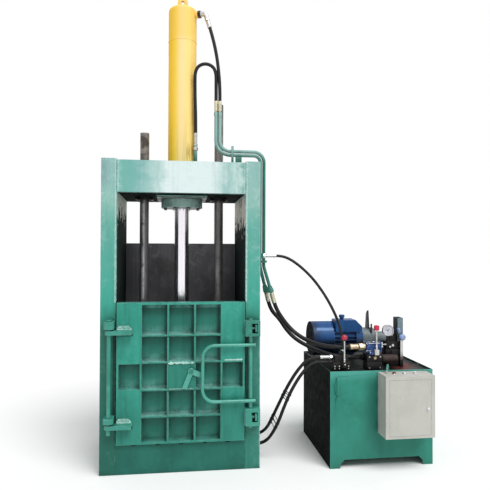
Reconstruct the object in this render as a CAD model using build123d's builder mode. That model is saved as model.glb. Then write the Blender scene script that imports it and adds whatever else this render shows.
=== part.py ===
from build123d import *
import math
import os

os.makedirs("parts", exist_ok=True)

# Vertical hydraulic baler with a separate power unit.
# The origin is on the floor under the press cylinder; the front is at -Y.
# All sizes are in millimetres.

# Press frame
frame_w = 1224.0
frame_d = 800.0
frame_h = 2400.0
post_w = 117.0
post_return = 40.0
skin_t = 12.0
rib_t = 12.0
rail_h = 80.0
rail_t = 8.0
rail_count = 4
beam_h = 247.0
beam_top_drop = 10.0
beam_plate_t = 16.0
beam_floor_t = 25.0
beam_web_x = 190.0
access_w = 200.0
access_d = 300.0
sill_z = 229.0
rear_window_h = 379.0
back_wall_t = 12.0
back_rib_d = 28.0
back_rib_gap = 330.0

# Chamber floor
floor_top_z = 240.0
floor_plate_t = 20.0
groove_w = 34.0
groove_d = 25.0
groove_pitch = 180.0
groove_count = 5
bearer_w = 100.0
bearer_x = 281.0
bearer_flange_t = 14.0
bearer_web_t = 10.0
tie_plate_d = 150.0

# Press cylinder, its ram and guides
barrel_d = 236.0
barrel_bore_d = 200.0
barrel_reach = 1072.0
cap_h = 288.0
cap_end_t = 40.0
cap_round = 34.0
lug_w = 88.0
lug_t = 26.0
lug_hole_d = 30.0
lug_hole_up = 55.0
mount_plate_w = 406.0
mount_plate_t = 16.0
gland_d = 344.0
gland_h = 72.0
gland_bolt_pcd = 296.0
gland_bolt_count = 8
rod_d = 125.0
piston_h = 140.0
piston_rest_up = 230.0
guide_d = 75.0
guide_x = 312.0
guide_left_up = 292.0
guide_right_up = 558.0
bush_d = 105.0
bush_drop = 60.0
bush_flange_d = 150.0
bush_flange_t = 22.0
bush_bolt_pcd = 126.0
bush_bolt_count = 4
bolt_head_w = 24.0
bolt_head_h = 12.0
bolt_shank_d = 14.0
run_fit = 0.05

# Platen
platen_w = 940.0
platen_front_inset = 82.0
platen_rear_gap = 18.0
platen_h = 150.0
platen_top_z = 1230.0
platen_plate_t = 40.0
platen_rib_t = 16.0
platen_boss_d = 220.0

# Door
door_gap = 8.0
door_bottom_gap = 3.0
door_top_z = 1300.0
door_t = 90.0
door_proud = 30.0
door_skin_t = 16.0
door_rib_t = 14.0
door_frame_t = 16.0
door_col_pitch = 204.0
door_row_z = [436.0, 638.0, 845.0, 1049.0]
cover_t = 8.0

# Door hinge
hinge_x = -536.0
hinge_out = 75.0
hinge_rod_d = 30.0
hinge_rod_low_z = 328.0
hinge_arm_h = 31.0
hinge_arm_z = [372.0, 1069.0]
hinge_arm_end_x = -370.0
hinge_arm_r = 29.0
hinge_block_w = 74.0
hinge_block_h = [39.0, 56.0]
hinge_block_gap = 11.0
rod_head_d = 46.0
rod_head_h = 12.0

# Door lock
lock_x = 532.0
lock_out = 40.0
lock_shaft_d = 29.0
lock_low_z = 336.0
lock_top_z = 1172.0
bracket_t = 12.0
bracket_w = 115.0
bracket_out = 75.0
bracket_column_gap = 2.0
bracket_z = [[353.0, 485.0], [1039.0, 1160.0]]
window_w = 50.0
window_h = 76.0
window_x = 558.0
keeper_x = 571.0
keeper_t = 14.0
keeper_h = 56.0
keeper_reach = 71.0
cam_reach = 28.0
cam_t = 14.0
cam_w = 26.0
bar_d = 26.0
bar_left_x = 160.0
bar_right_x = 565.0
bar_low_z = 546.0
bar_high_z = 973.0
bar_corner_r = 92.0

# Latch pawl
pawl_x = 74.0
pawl_z = 775.0
pawl_t = 12.0
pawl_gap = 2.0
pawl_boss_r = 26.0
pawl_bolt_d = 20.0
pawl_tail_x = 22.0
pawl_tail_z = 644.0
pawl_beak_x = 176.0
pawl_beak_z = 735.0
pawl_arm_w = 36.0

# Bale ejector
pusher_w = 500.0
pusher_h = 354.0
pusher_t = 20.0
pusher_wall_gap = 4.0
pusher_floor_gap = 6.0
neck_x = 90.0
neck_w = 24.0
neck_slot_gap = 5.0
neck_d = 40.0
ejector_stroke = 200.0
ejector_z = 115.0
ejector_d = 90.0
ejector_bore_d = 70.0
ejector_rod_d = 40.0
ejector_inset = 150.0
ejector_len = 312.0
ejector_end_t = 34.0
ejector_piston_t = 28.0
ejector_port_in = [50.0, 42.0]
ejector_pipe_d = 20.0
ejector_hole_d = 24.0

# Steel pipes on the press
pipe_d = 28.0
pipe_y = -120.0
pipe_lower_x = 278.0
pipe_step = 32.0
pipe_top_up = 410.0
pipe_low_up = 106.0
pipe_down_x = 652.0
pipe_low_bend_r = 120.0
pipe_corner_r = 54.0
pipe_splay = 51.0
pipe_slant_drop = 39.0
pipe_end_drop = 209.0
side_clamp_up = 62.0
side_block_w = 50.0
clamp_bar_x = 415.0
clamp_bar_w = 20.0
clamp_bar_h = 180.0
clamp_bar_t = 8.0
rest_block_x = 468.0
rest_block_w = 50.0

# Hoses and their end fittings
hose_d = 34.0
top_hose_d = 28.0
thin_hose_d = 23.0
twin_hose_d = 26.0
ferrule_d = 30.0
ferrule_len = 88.0
nut_w = 30.0
nut_len = 56.0
big_ferrule_d = 46.0
big_nut_w = 52.0
port_drop = 60.0
port_angle = -24.0
port_boss_d = 60.0
port_boss_len = 24.0
riser_d = 30.0
riser_x = 110.0
riser_y = -100.0
riser_top_up = 180.0
riser_start_up = 97.0

# Tank
tank_x = 1152.0
tank_y = -484.0
tank_w = 846.0
tank_d = 862.0
tank_h = 755.0
tank_wall = 6.0
tank_floor_z = 67.0
foot_w = 84.0
lid_drop = 13.0
lid_t = 6.0
ledge_w = 24.0
grab_x = 1205.0
grab_low_z = 568.0
grab_high_z = 709.0
grab_d = 12.0
grab_reach = 34.0

# Motor and pump, along X
motor_y = 150.0
motor_z = 915.0
motor_r = 150.0
motor_core_r = 128.0
motor_left_x = 1154.0
cowl_len = 186.0
cowl_t = 4.0
stator_right_x = 1540.0
motor_right_x = 1616.0
motor_nose_r = 104.0
stator_bore_r = 90.0
fin_count = 28
fin_t = 5.0
motor_foot_w = 254.0
motor_foot_len = 178.0
motor_foot_t = 22.0
shaft_d = 42.0
fan_r = 128.0
fan_t = 40.0
fan_blades = 7
bell_r = 88.0
bell_right_x = 1737.0
bell_t = 12.0
pump_r = 50.0
pump_right_x = 1871.0
pump_flange_r = 66.0
gusset_x = 1690.0
gusset_t = 16.0
gusset_top_z = 1160.0
gusset_foot_w = 150.0
gusset_top_w = 30.0
vent_x = 1701.0
vent_d = 14.0
vent_top_z = 1045.0
box_left_x = 1352.0
box_right_x = 1590.0
box_front_y = 6.0
box_back_y = 140.0
box_low_up = 73.0
box_h = 102.0
box_slope = 58.0
box_gap = 0.3
knob_x = 1420.0
knob_y = 60.0
knob_d = 50.0
knob_h = 24.0
knob_neck_d = 34.0
knob_neck_h = 18.0

# Hand valves
valve_left_x = 1196.0
valve_left_w = 148.0
valve_left_y = -410.0
valve_left_d = 58.0
valve_left_h = 150.0
valve_right_x = 1478.0
valve_right_w = 126.0
valve_right_y = -420.0
valve_right_d = 112.0
valve_right_h = 130.0
blue_len = 128.0
blue_r = 42.0
blue_z = 930.0
blue_y = -400.0
lever_left_x = 1283.0
lever_left_z = 800.0
lever_left_y = -436.0
lever_left_top_z = 1010.0
lever_right_x = 1541.0
lever_right_z = 900.0
lever_right_y = -456.0
lever_right_top_z = 1087.0
lever_d = 13.0
ball_d = 46.0
lever_pin_d = 8.0
lever_cheek_t = 6.0
lever_boss_t = 16.0
lever_gap = 0.4
lever_swing = 18.0

# Manifold, gauge, filter
manifold_x = 1684.0
manifold_w = 148.0
manifold_y = -300.0
manifold_d = 96.0
manifold_h = 208.0
gauge_x = 1690.0
gauge_z = 1047.0
gauge_y = -318.0
gauge_d = 95.0
gauge_t = 34.0
gauge_rim = 4.0
needle_w = 3.0
needle_t = 1.5
needle_angle = 50.0
post_x = 1808.0
post_col_w = 48.0
post_col_y = -300.0
post_col_d = 90.0
post_top_z = 1144.0
post_wall = 5.0
relief_x = 1812.0
relief_z = 988.0
relief_y = -358.0
relief_d = 54.0
relief_len = 36.0
relief_tube_w = 26.0
filter_x = 1607.0
filter_len = 132.0
filter_d = 66.0
filter_y = -384.0
filter_z = 828.0

# Control cabinet
cab_x = 1540.0
cab_w = 396.0
cab_d = 161.0
cab_low_z = 268.0
cab_h = 476.0
cab_wall = 4.0
cab_frame_w = 30.0
cab_frame_low = 19.0
cab_door_t = 4.0
cab_door_gap = 1.5
cab_pin_d = 3.0
cab_pin_len = 10.0
cab_device_dx = 96.0
cab_device_dz = 70.0
cab_device_d = 60.0
cab_lock_x = 1878.0
cab_lock_z = 494.0
cab_lock_d = 20.0
button_d = 24.0
button_h = 9.0
button_travel = 4.0
button_hole_gap = 0.4
stop_x = 1640.0
start_x = 1724.0
reset_x = 1812.0
conduit_d = 16.0
conduit_x = 1592.0
conduit_in = 112.0
conduit_out = 30.0
conduit_rise = 60.0
conduit_shift = 44.0
conduit_bend_r = 34.0

# Derived places
half_w = frame_w / 2
open_x = half_w - post_w
front_y = -frame_d / 2
back_y = frame_d / 2
beam_top_z = frame_h - beam_top_drop
beam_bottom_z = beam_top_z - beam_h
back_wall_top_z = beam_bottom_z - rear_window_h
barrel_weld_z = beam_top_z + barrel_reach
cap_top_z = barrel_weld_z + cap_h
piston_rest_z = beam_top_z + piston_rest_up
guide_left_top_z = beam_top_z + guide_left_up
guide_right_top_z = beam_top_z + guide_right_up
bush_top_z = beam_top_z - bush_drop
pipe_top_z = beam_top_z + pipe_top_up
pipe_low_z = beam_top_z + pipe_low_up
port_z = cap_top_z - port_drop
riser_top_z = beam_top_z + riser_top_up
riser_start_z = beam_bottom_z + riser_start_up
box_low_z = motor_z + box_low_up
box_top_z = box_low_z + box_h
back_wall_y = back_y - back_rib_d - back_wall_t
platen_front_y = front_y + platen_front_inset
platen_rear_y = back_wall_y - platen_rear_gap
platen_d = platen_rear_y - platen_front_y
platen_y = (platen_rear_y + platen_front_y) / 2
hinge_y = front_y - hinge_out
lock_y = front_y - lock_out
bracket_front_y = front_y - bracket_out
ejector_front_y = front_y + ejector_inset
ejector_rear_y = ejector_front_y + ejector_len
ejector_port_y = [ejector_front_y + ejector_port_in[0], ejector_rear_y - ejector_port_in[1]]
door_half_w = open_x - door_gap
door_low_z = sill_z + door_bottom_gap
door_front_y = front_y - door_proud
door_back_y = door_front_y + door_t
floor_front_y = door_back_y + 4
groove_xs = [groove_pitch * (i - (groove_count - 1) / 2) for i in range(groove_count)]
rail_pitch = (frame_h - rail_h) / (rail_count - 1)
rail_zs = [rail_pitch * i for i in range(rail_count)]
side_clamp_z = rail_zs[2] + side_clamp_up
pipe_slant_z = side_clamp_z - pipe_slant_drop
pipe_end_z = side_clamp_z - pipe_end_drop
tank_top_z = tank_h
lid_top_z = tank_top_z - lid_drop
cab_y = tank_y - cab_d
cab_top_z = cab_low_z + cab_h


# Side frames: a liner plate, front and rear plates with returns, and box rails across the outside
side_frames = []
for side in (1, -1):
    with BuildPart() as side_frame:
        with BuildSketch(Plane.XY):
            with Locations((side * (open_x + skin_t / 2), 0)):
                Rectangle(skin_t, frame_d)
            for end in (1, -1):
                with Locations((side * (open_x + post_w / 2), end * (back_y - skin_t / 2))):
                    Rectangle(post_w, skin_t)
                with Locations((side * (half_w - skin_t / 2), end * (back_y - post_return / 2))):
                    Rectangle(skin_t, post_return)
        extrude(amount=frame_h)
        for rail_z in rail_zs:
            with BuildSketch(Plane.XY.offset(rail_z)):
                with Locations((side * (half_w - (post_w - skin_t) / 2), 0)):
                    Rectangle(post_w - skin_t, frame_d - 2 * skin_t)
            extrude(amount=rail_h)
            with BuildSketch(Plane.XY.offset(rail_z + rail_t)):
                with Locations((side * (open_x + (post_w + skin_t - rail_t) / 2), 0)):
                    Rectangle(post_w - skin_t - rail_t, frame_d - 2 * skin_t)
            extrude(amount=rail_h - 2 * rail_t, mode=Mode.SUBTRACT)
        if side > 0:
            with BuildSketch(Plane.YZ.offset(open_x)):
                with Locations(*[(y, ejector_z) for y in ejector_port_y]):
                    Circle(ejector_hole_d / 2)
            extrude(amount=skin_t, mode=Mode.SUBTRACT)
    side_frames.append(side_frame)
side_frames[0].part.label = "side_frame_right"
export_step(side_frames[0].part, "parts/side_frame_right.step")
side_frames[1].part.label = "side_frame_left"
export_step(side_frames[1].part, "parts/side_frame_left.step")

# Top beam: a welded box with webs, bored for the cylinder and the guide bushes
with BuildPart() as top_beam:
    with BuildSketch(Plane.XY.offset(beam_bottom_z)):
        Rectangle(2 * open_x, frame_d)
    extrude(amount=beam_top_z - beam_bottom_z)
    with BuildSketch(Plane.XY.offset(beam_bottom_z + beam_floor_t)):
        Rectangle(2 * open_x, frame_d - 2 * beam_plate_t)
    extrude(amount=beam_top_z - beam_bottom_z - beam_floor_t - beam_plate_t, mode=Mode.SUBTRACT)
    with BuildSketch(Plane.XY.offset(beam_bottom_z)):
        with Locations((beam_web_x, 0), (-beam_web_x, 0)):
            Rectangle(beam_plate_t, frame_d)
    extrude(amount=beam_top_z - beam_bottom_z)
    with BuildSketch(Plane.XY.offset(beam_bottom_z)):
        Circle(barrel_d / 2)
    extrude(amount=beam_top_z - beam_bottom_z, mode=Mode.SUBTRACT)
    with BuildSketch(Plane.XY.offset(beam_bottom_z)):
        with Locations((guide_x, 0), (-guide_x, 0)):
            Circle(bush_d / 2)
    extrude(amount=beam_floor_t, mode=Mode.SUBTRACT)
    with BuildSketch(Plane.XY.offset(beam_top_z - beam_plate_t)):
        with Locations((guide_x, 0), (-guide_x, 0)):
            RectangleRounded(access_w, access_d, 30)
        with Locations((riser_x, riser_y)):
            Circle(riser_d / 2 + 4)
    extrude(amount=beam_plate_t, mode=Mode.SUBTRACT)
    with BuildSketch(Plane.XY.offset(beam_bottom_z)):
        with PolarLocations(gland_bolt_pcd / 2, gland_bolt_count, start_angle=22.5):
            Circle(bolt_shank_d / 2)
        with Locations((guide_x, 0), (-guide_x, 0)):
            with PolarLocations(bush_bolt_pcd / 2, bush_bolt_count, start_angle=45):
                Circle(bolt_shank_d / 2)
    extrude(amount=beam_floor_t, mode=Mode.SUBTRACT)
top_beam.part.label = "top_beam"
export_step(top_beam.part, "parts/top_beam.step")

# Base panel: the sill under the door, notched for the strapping wires
with BuildPart() as base_panel:
    with BuildSketch(Plane.XZ.offset(-front_y)):
        with Locations((0, sill_z / 2)):
            Rectangle(2 * open_x, sill_z)
        with Locations(*[(x, sill_z) for x in groove_xs]):
            Rectangle(groove_w, 2 * (sill_z - floor_top_z + groove_d), mode=Mode.SUBTRACT)
    extrude(amount=-skin_t)
    with BuildSketch(Plane.XY.offset(floor_top_z - groove_d - skin_t)):
        with Locations((0, (front_y + skin_t + floor_front_y) / 2)):
            Rectangle(2 * open_x, floor_front_y - front_y - skin_t)
    extrude(amount=skin_t)
base_panel.part.label = "base_panel"
export_step(base_panel.part, "parts/base_panel.step")

# Chamber floor: a plate with wear strips that leave a groove for each strap
floor_rear_y = back_wall_y
floor_len = floor_rear_y - floor_front_y
slot_front_y = floor_rear_y - pusher_wall_gap - pusher_t - neck_d - ejector_stroke - neck_slot_gap
with BuildPart() as chamber_floor:
    with BuildSketch(Plane.XY.offset(floor_top_z - groove_d - floor_plate_t)):
        with Locations((0, (floor_front_y + floor_rear_y) / 2)):
            Rectangle(2 * open_x, floor_len)
    extrude(amount=floor_plate_t + groove_d)
    with BuildSketch(Plane.XY.offset(floor_top_z - groove_d)):
        with Locations(*[(x, (floor_front_y + floor_rear_y) / 2) for x in groove_xs]):
            Rectangle(groove_w, floor_len)
    extrude(amount=groove_d, mode=Mode.SUBTRACT)
    with BuildSketch(Plane.XY.offset(floor_top_z - groove_d - floor_plate_t)):
        with Locations(
            (neck_x, (slot_front_y + floor_rear_y) / 2), (-neck_x, (slot_front_y + floor_rear_y) / 2)
        ):
            Rectangle(neck_w + 2 * neck_slot_gap, floor_rear_y - slot_front_y)
    extrude(amount=floor_plate_t + groove_d, mode=Mode.SUBTRACT)
chamber_floor.part.label = "chamber_floor"
export_step(chamber_floor.part, "parts/chamber_floor.step")

# Floor bearers: two I-beams under the floor, joined by a tie plate under the press
bearer_h = floor_top_z - groove_d - floor_plate_t
with BuildPart() as floor_bearers:
    with BuildSketch(Plane.XZ.offset(-front_y - skin_t)):
        with Locations((bearer_x, bearer_h / 2), (-bearer_x, bearer_h / 2)):
            Rectangle(bearer_w, bearer_h)
        for side in (1, -1):
            with Locations(
                (bearer_x + side * (bearer_w + bearer_web_t) / 4, bearer_h / 2),
                (-bearer_x + side * (bearer_w + bearer_web_t) / 4, bearer_h / 2),
            ):
                Rectangle(
                    (bearer_w - bearer_web_t) / 2, bearer_h - 2 * bearer_flange_t, mode=Mode.SUBTRACT
                )
    extrude(amount=-(back_wall_y - front_y - skin_t))
    with BuildSketch(Plane.XY):
        Rectangle(2 * bearer_x - bearer_w, tie_plate_d)
    extrude(amount=bearer_flange_t)
    with BuildSketch(Plane.YZ.offset(bearer_x - bearer_w / 2)):
        with Locations(*[(y, ejector_z) for y in ejector_port_y]):
            Circle(ejector_hole_d / 2 + 6)
    extrude(amount=bearer_w, mode=Mode.SUBTRACT)
floor_bearers.part.label = "floor_bearers"
export_step(floor_bearers.part, "parts/floor_bearers.step")

# Back wall: a plate between the side frames with flat ribs on its rear face
with BuildPart() as back_wall:
    with BuildSketch(Plane.XZ.offset(-back_wall_y)):
        with Locations((0, back_wall_top_z / 2)):
            Rectangle(2 * open_x, back_wall_top_z)
    extrude(amount=-back_wall_t)
    back_rib_count = round((back_wall_top_z - rib_t) / back_rib_gap)
    with BuildSketch(Plane.XZ.offset(-back_wall_y - back_wall_t)):
        for i in range(back_rib_count + 1):
            with Locations((0, rib_t / 2 + (back_wall_top_z - rib_t) * i / back_rib_count)):
                Rectangle(2 * open_x, rib_t)
        with Locations((bearer_x, back_wall_top_z / 2), (-bearer_x, back_wall_top_z / 2)):
            Rectangle(rib_t, back_wall_top_z)
    extrude(amount=-back_rib_d)
back_wall.part.label = "back_wall"
export_step(back_wall.part, "parts/back_wall.step")

# Press cylinder: barrel tube, welded cap with the lifting lug, square plate and gland
gland_top_z = beam_bottom_z - mount_plate_t
gland_low_z = gland_top_z - gland_h
with BuildPart() as cylinder_barrel:
    with BuildSketch(Plane.XY.offset(gland_top_z)):
        Circle(barrel_d / 2)
        Circle(barrel_bore_d / 2, mode=Mode.SUBTRACT)
    extrude(amount=barrel_weld_z - gland_top_z)
cylinder_barrel.part.label = "cylinder_barrel"
export_step(cylinder_barrel.part, "parts/cylinder_barrel.step")

port_dir = Vector(math.cos(math.radians(port_angle)), math.sin(math.radians(port_angle)), 0)
with BuildPart() as cylinder_cap:
    with BuildSketch(Plane.XY.offset(barrel_weld_z)):
        Circle(barrel_d / 2)
    extrude(amount=cap_top_z - barrel_weld_z)
    fillet(cylinder_cap.edges().filter_by(GeomType.CIRCLE).sort_by(Axis.Z)[-1], cap_round)
    with BuildSketch(Plane(origin=(0, 0, port_z), z_dir=port_dir)):
        Circle(port_boss_d / 2)
    extrude(amount=barrel_d / 2 + port_boss_len)
    with BuildSketch(Plane.XY.offset(barrel_weld_z)):
        Circle(barrel_bore_d / 2)
    extrude(amount=cap_top_z - cap_end_t - barrel_weld_z, mode=Mode.SUBTRACT)
    with BuildSketch(Plane.XZ.offset(-lug_t / 2)):
        with Locations((0, cap_top_z + lug_hole_up)):
            Circle(lug_w / 2)
        with Locations((0, cap_top_z + lug_hole_up / 2)):
            Rectangle(lug_w, lug_hole_up)
        with Locations((0, cap_top_z + lug_hole_up)):
            Circle(lug_hole_d / 2, mode=Mode.SUBTRACT)
    extrude(amount=lug_t)
cylinder_cap.part.label = "cylinder_cap"
export_step(cylinder_cap.part, "parts/cylinder_cap.step")

with BuildPart() as cylinder_mount_plate:
    with BuildSketch(Plane.XY.offset(gland_top_z)):
        Rectangle(mount_plate_w, mount_plate_w)
        Circle(barrel_d / 2, mode=Mode.SUBTRACT)
        with PolarLocations(gland_bolt_pcd / 2, gland_bolt_count, start_angle=22.5):
            Circle(bolt_shank_d / 2, mode=Mode.SUBTRACT)
    extrude(amount=mount_plate_t)
cylinder_mount_plate.part.label = "cylinder_mount_plate"
export_step(cylinder_mount_plate.part, "parts/cylinder_mount_plate.step")

with BuildPart() as cylinder_gland:
    with BuildSketch(Plane.XY.offset(gland_low_z)):
        Circle(gland_d / 2)
        Circle(rod_d / 2 + run_fit, mode=Mode.SUBTRACT)
        with PolarLocations(gland_bolt_pcd / 2, gland_bolt_count, start_angle=22.5):
            Circle(bolt_shank_d / 2, mode=Mode.SUBTRACT)
    extrude(amount=gland_h)
    chamfer(cylinder_gland.edges().filter_by(GeomType.CIRCLE).sort_by(SortBy.RADIUS)[-2:], 4)
cylinder_gland.part.label = "cylinder_gland"
export_step(cylinder_gland.part, "parts/cylinder_gland.step")

# Guide bushes: flanged tubes bolted under the beam
with BuildPart() as guide_bushes:
    with BuildSketch(Plane.XY.offset(beam_bottom_z - bush_flange_t)):
        with Locations((guide_x, 0), (-guide_x, 0)):
            Circle(bush_flange_d / 2)
    extrude(amount=bush_flange_t)
    with BuildSketch(Plane.XY.offset(beam_bottom_z)):
        with Locations((guide_x, 0), (-guide_x, 0)):
            Circle(bush_d / 2)
    extrude(amount=bush_top_z - beam_bottom_z)
    with BuildSketch(Plane.XY.offset(beam_bottom_z - bush_flange_t)):
        with Locations((guide_x, 0), (-guide_x, 0)):
            Circle(guide_d / 2 + run_fit)
    extrude(amount=bush_top_z - beam_bottom_z + bush_flange_t, mode=Mode.SUBTRACT)
    with BuildSketch(Plane.XY.offset(beam_bottom_z - bush_flange_t)):
        with Locations((guide_x, 0), (-guide_x, 0)):
            with PolarLocations(bush_bolt_pcd / 2, bush_bolt_count, start_angle=45):
                Circle(bolt_shank_d / 2)
    extrude(amount=bush_flange_t, mode=Mode.SUBTRACT)
guide_bushes.part.label = "guide_bushes"
export_step(guide_bushes.part, "parts/guide_bushes.step")

# Bolts of the gland and of the bushes, all of one size
with BuildPart() as mount_bolts:
    with BuildSketch(Plane.XY.offset(gland_low_z - bolt_head_h)):
        with PolarLocations(gland_bolt_pcd / 2, gland_bolt_count, start_angle=22.5):
            RegularPolygon(bolt_head_w / 2, 6, major_radius=False)
    extrude(amount=bolt_head_h)
    with BuildSketch(Plane.XY.offset(gland_low_z)):
        with PolarLocations(gland_bolt_pcd / 2, gland_bolt_count, start_angle=22.5):
            Circle(bolt_shank_d / 2)
    extrude(amount=beam_bottom_z + beam_floor_t - gland_low_z)
    with BuildSketch(Plane.XY.offset(beam_bottom_z - bush_flange_t - bolt_head_h)):
        with Locations((guide_x, 0), (-guide_x, 0)):
            with PolarLocations(bush_bolt_pcd / 2, bush_bolt_count, start_angle=45):
                RegularPolygon(bolt_head_w / 2, 6, major_radius=False)
    extrude(amount=bolt_head_h)
    with BuildSketch(Plane.XY.offset(beam_bottom_z - bush_flange_t)):
        with Locations((guide_x, 0), (-guide_x, 0)):
            with PolarLocations(bush_bolt_pcd / 2, bush_bolt_count, start_angle=45):
                Circle(bolt_shank_d / 2)
    extrude(amount=bush_flange_t + beam_floor_t)
mount_bolts.part.label = "mount_bolts"
export_step(mount_bolts.part, "parts/mount_bolts.step")

# Ram: piston and rod, platen, guide rods
platen_low_z = platen_top_z - platen_h
with BuildPart() as piston_rod:
    with BuildSketch(Plane.XY.offset(platen_low_z + platen_plate_t)):
        Circle(rod_d / 2)
    extrude(amount=piston_rest_z - platen_low_z - platen_plate_t)
    with BuildSketch(Plane.XY.offset(piston_rest_z)):
        Circle(barrel_bore_d / 2 - run_fit)
    extrude(amount=piston_h)
piston_rod.part.label = "piston_rod"
export_step(piston_rod.part, "parts/piston_rod.step")

with BuildPart() as platen:
    with BuildSketch(Plane.XY.offset(platen_low_z)):
        with Locations((0, platen_y)):
            Rectangle(platen_w, platen_d)
    extrude(amount=platen_plate_t)
    with BuildSketch(Plane.XY.offset(platen_low_z)):
        with Locations(*[(x, platen_y) for x in groove_xs]):
            Rectangle(groove_w, platen_d)
    extrude(amount=groove_d, mode=Mode.SUBTRACT)
    with BuildSketch(Plane.XY.offset(platen_low_z + platen_plate_t)):
        with Locations((0, platen_y)):
            Rectangle(platen_w, platen_d)
            Rectangle(platen_w - 2 * platen_rib_t, platen_d - 2 * platen_rib_t, mode=Mode.SUBTRACT)
            Rectangle(platen_w - platen_rib_t, platen_rib_t)
        with Locations((guide_x / 2, platen_y), (-guide_x / 2, platen_y)):
            Rectangle(platen_rib_t, platen_d - platen_rib_t)
        with Locations((guide_x, 0), (-guide_x, 0)):
            Circle(bush_d / 2)
        Circle(platen_boss_d / 2)
    extrude(amount=platen_h - platen_plate_t)
    with BuildSketch(Plane.XY.offset(platen_low_z + platen_plate_t)):
        Circle(rod_d / 2)
        with Locations((guide_x, 0), (-guide_x, 0)):
            Circle(guide_d / 2)
    extrude(amount=platen_h - platen_plate_t, mode=Mode.SUBTRACT)
platen.part.label = "platen"
export_step(platen.part, "parts/platen.step")

with BuildPart() as guide_rods:
    for x, top in ((-guide_x, guide_left_top_z), (guide_x, guide_right_top_z)):
        with BuildSketch(Plane.XY.offset(platen_low_z + platen_plate_t)):
            with Locations((x, 0)):
                Circle(guide_d / 2)
        extrude(amount=top - platen_low_z - platen_plate_t)
    chamfer(guide_rods.edges().filter_by(GeomType.CIRCLE).group_by(Axis.Z)[-1], 6)
guide_rods.part.label = "guide_rods"
export_step(guide_rods.part, "parts/guide_rods.step")

# Door: a skin behind a grid of ribs, with flush plates over some of the cells
door_h = door_top_z - door_low_z
door_mid_z = (door_top_z + door_low_z) / 2
rib_xs = [door_col_pitch * (i - 1.5) for i in range(4)]
row_edges = [door_low_z] + door_row_z + [door_top_z]
with BuildPart() as door_panel:
    with BuildSketch(Plane.XZ.offset(-door_back_y)):
        with Locations((0, door_mid_z)):
            Rectangle(2 * door_half_w, door_h)
    extrude(amount=door_skin_t)
    with BuildSketch(Plane.XZ.offset(-door_back_y + door_skin_t)):
        with Locations((0, door_mid_z)):
            Rectangle(2 * door_half_w, door_h)
            Rectangle(
                2 * (door_half_w - door_frame_t), door_h - 2 * door_frame_t, mode=Mode.SUBTRACT
            )
        with Locations(*[(x, door_mid_z) for x in rib_xs]):
            Rectangle(door_rib_t, door_h - door_frame_t)
        with Locations(*[(0, z) for z in door_row_z]):
            Rectangle(2 * door_half_w - door_frame_t, door_rib_t)
    extrude(amount=door_t - door_skin_t)
    with BuildSketch(Plane.XZ.offset(-door_front_y - cover_t)):
        for side in (1, -1):
            for low, high in ((row_edges[0], row_edges[2]), (row_edges[3], row_edges[5])):
                with Locations((side * (door_half_w + rib_xs[3]) / 2, (low + high) / 2)):
                    Rectangle(door_half_w - rib_xs[3], high - low)
        with Locations((0, (row_edges[2] + row_edges[3]) / 2)):
            Rectangle(door_col_pitch, row_edges[3] - row_edges[2])
    extrude(amount=cover_t)
    with BuildSketch(Plane.XZ.offset(-door_front_y)):
        with Locations((pawl_x, pawl_z)):
            Circle(pawl_bolt_d / 2)
    extrude(amount=pawl_gap + pawl_t + pawl_gap)
    with BuildSketch(Plane.XZ.offset(-door_front_y + 2 * pawl_gap + pawl_t)):
        with Locations((pawl_x, pawl_z)):
            RegularPolygon(pawl_bolt_d * 0.75, 6, major_radius=False)
    extrude(amount=bolt_head_h / 2)
door_panel.part.label = "door_panel"
export_step(door_panel.part, "parts/door_panel.step")

# Door hinge: two arms welded to the door and to a rod that turns in blocks on the frame
hinge_rod_top_z = hinge_arm_z[1] + hinge_arm_h + hinge_block_gap + hinge_block_h[1]
with BuildPart() as hinge_arms:
    for arm_z in hinge_arm_z:
        with BuildSketch(Plane.XY.offset(arm_z)):
            with BuildLine():
                Polyline(
                    (hinge_x - hinge_arm_r, hinge_y + hinge_arm_r * 0.4),
                    (hinge_x - hinge_arm_r * 0.4, hinge_y + hinge_arm_r),
                    (-door_half_w + 8, door_front_y),
                    (hinge_arm_end_x, door_front_y),
                    (hinge_arm_end_x, hinge_y - hinge_arm_r),
                    (hinge_x - hinge_arm_r * 0.4, hinge_y - hinge_arm_r),
                    (hinge_x - hinge_arm_r, hinge_y - hinge_arm_r * 0.4),
                    close=True,
                )
            make_face()
        extrude(amount=hinge_arm_h)
    with BuildSketch(Plane.XY.offset(hinge_rod_low_z)):
        with Locations((hinge_x, hinge_y)):
            Circle(hinge_rod_d / 2)
    extrude(amount=hinge_rod_top_z + 1 - hinge_rod_low_z)
    with BuildSketch(Plane.XY.offset(hinge_rod_top_z + 1)):
        with Locations((hinge_x, hinge_y)):
            Circle(rod_head_d / 2)
    extrude(amount=rod_head_h)
hinge_arms.part.label = "hinge_arms"
export_step(hinge_arms.part, "parts/hinge_arms.step")

with BuildPart() as hinge_blocks:
    for arm_z, block_h in zip(hinge_arm_z, hinge_block_h):
        with BuildSketch(Plane.XY.offset(arm_z + hinge_arm_h + hinge_block_gap)):
            with Locations((hinge_x, (hinge_y - hinge_block_w / 2 + front_y) / 2)):
                Rectangle(hinge_block_w, front_y - hinge_y + hinge_block_w / 2)
            with Locations((hinge_x, hinge_y)):
                Circle(hinge_rod_d / 2 + run_fit, mode=Mode.SUBTRACT)
        extrude(amount=block_h)
    chamfer(
        hinge_blocks.edges().filter_by(Axis.Z).group_by(Axis.Y)[0], hinge_block_w * 0.2
    )
hinge_blocks.part.label = "hinge_blocks"
export_step(hinge_blocks.part, "parts/hinge_blocks.step")

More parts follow.
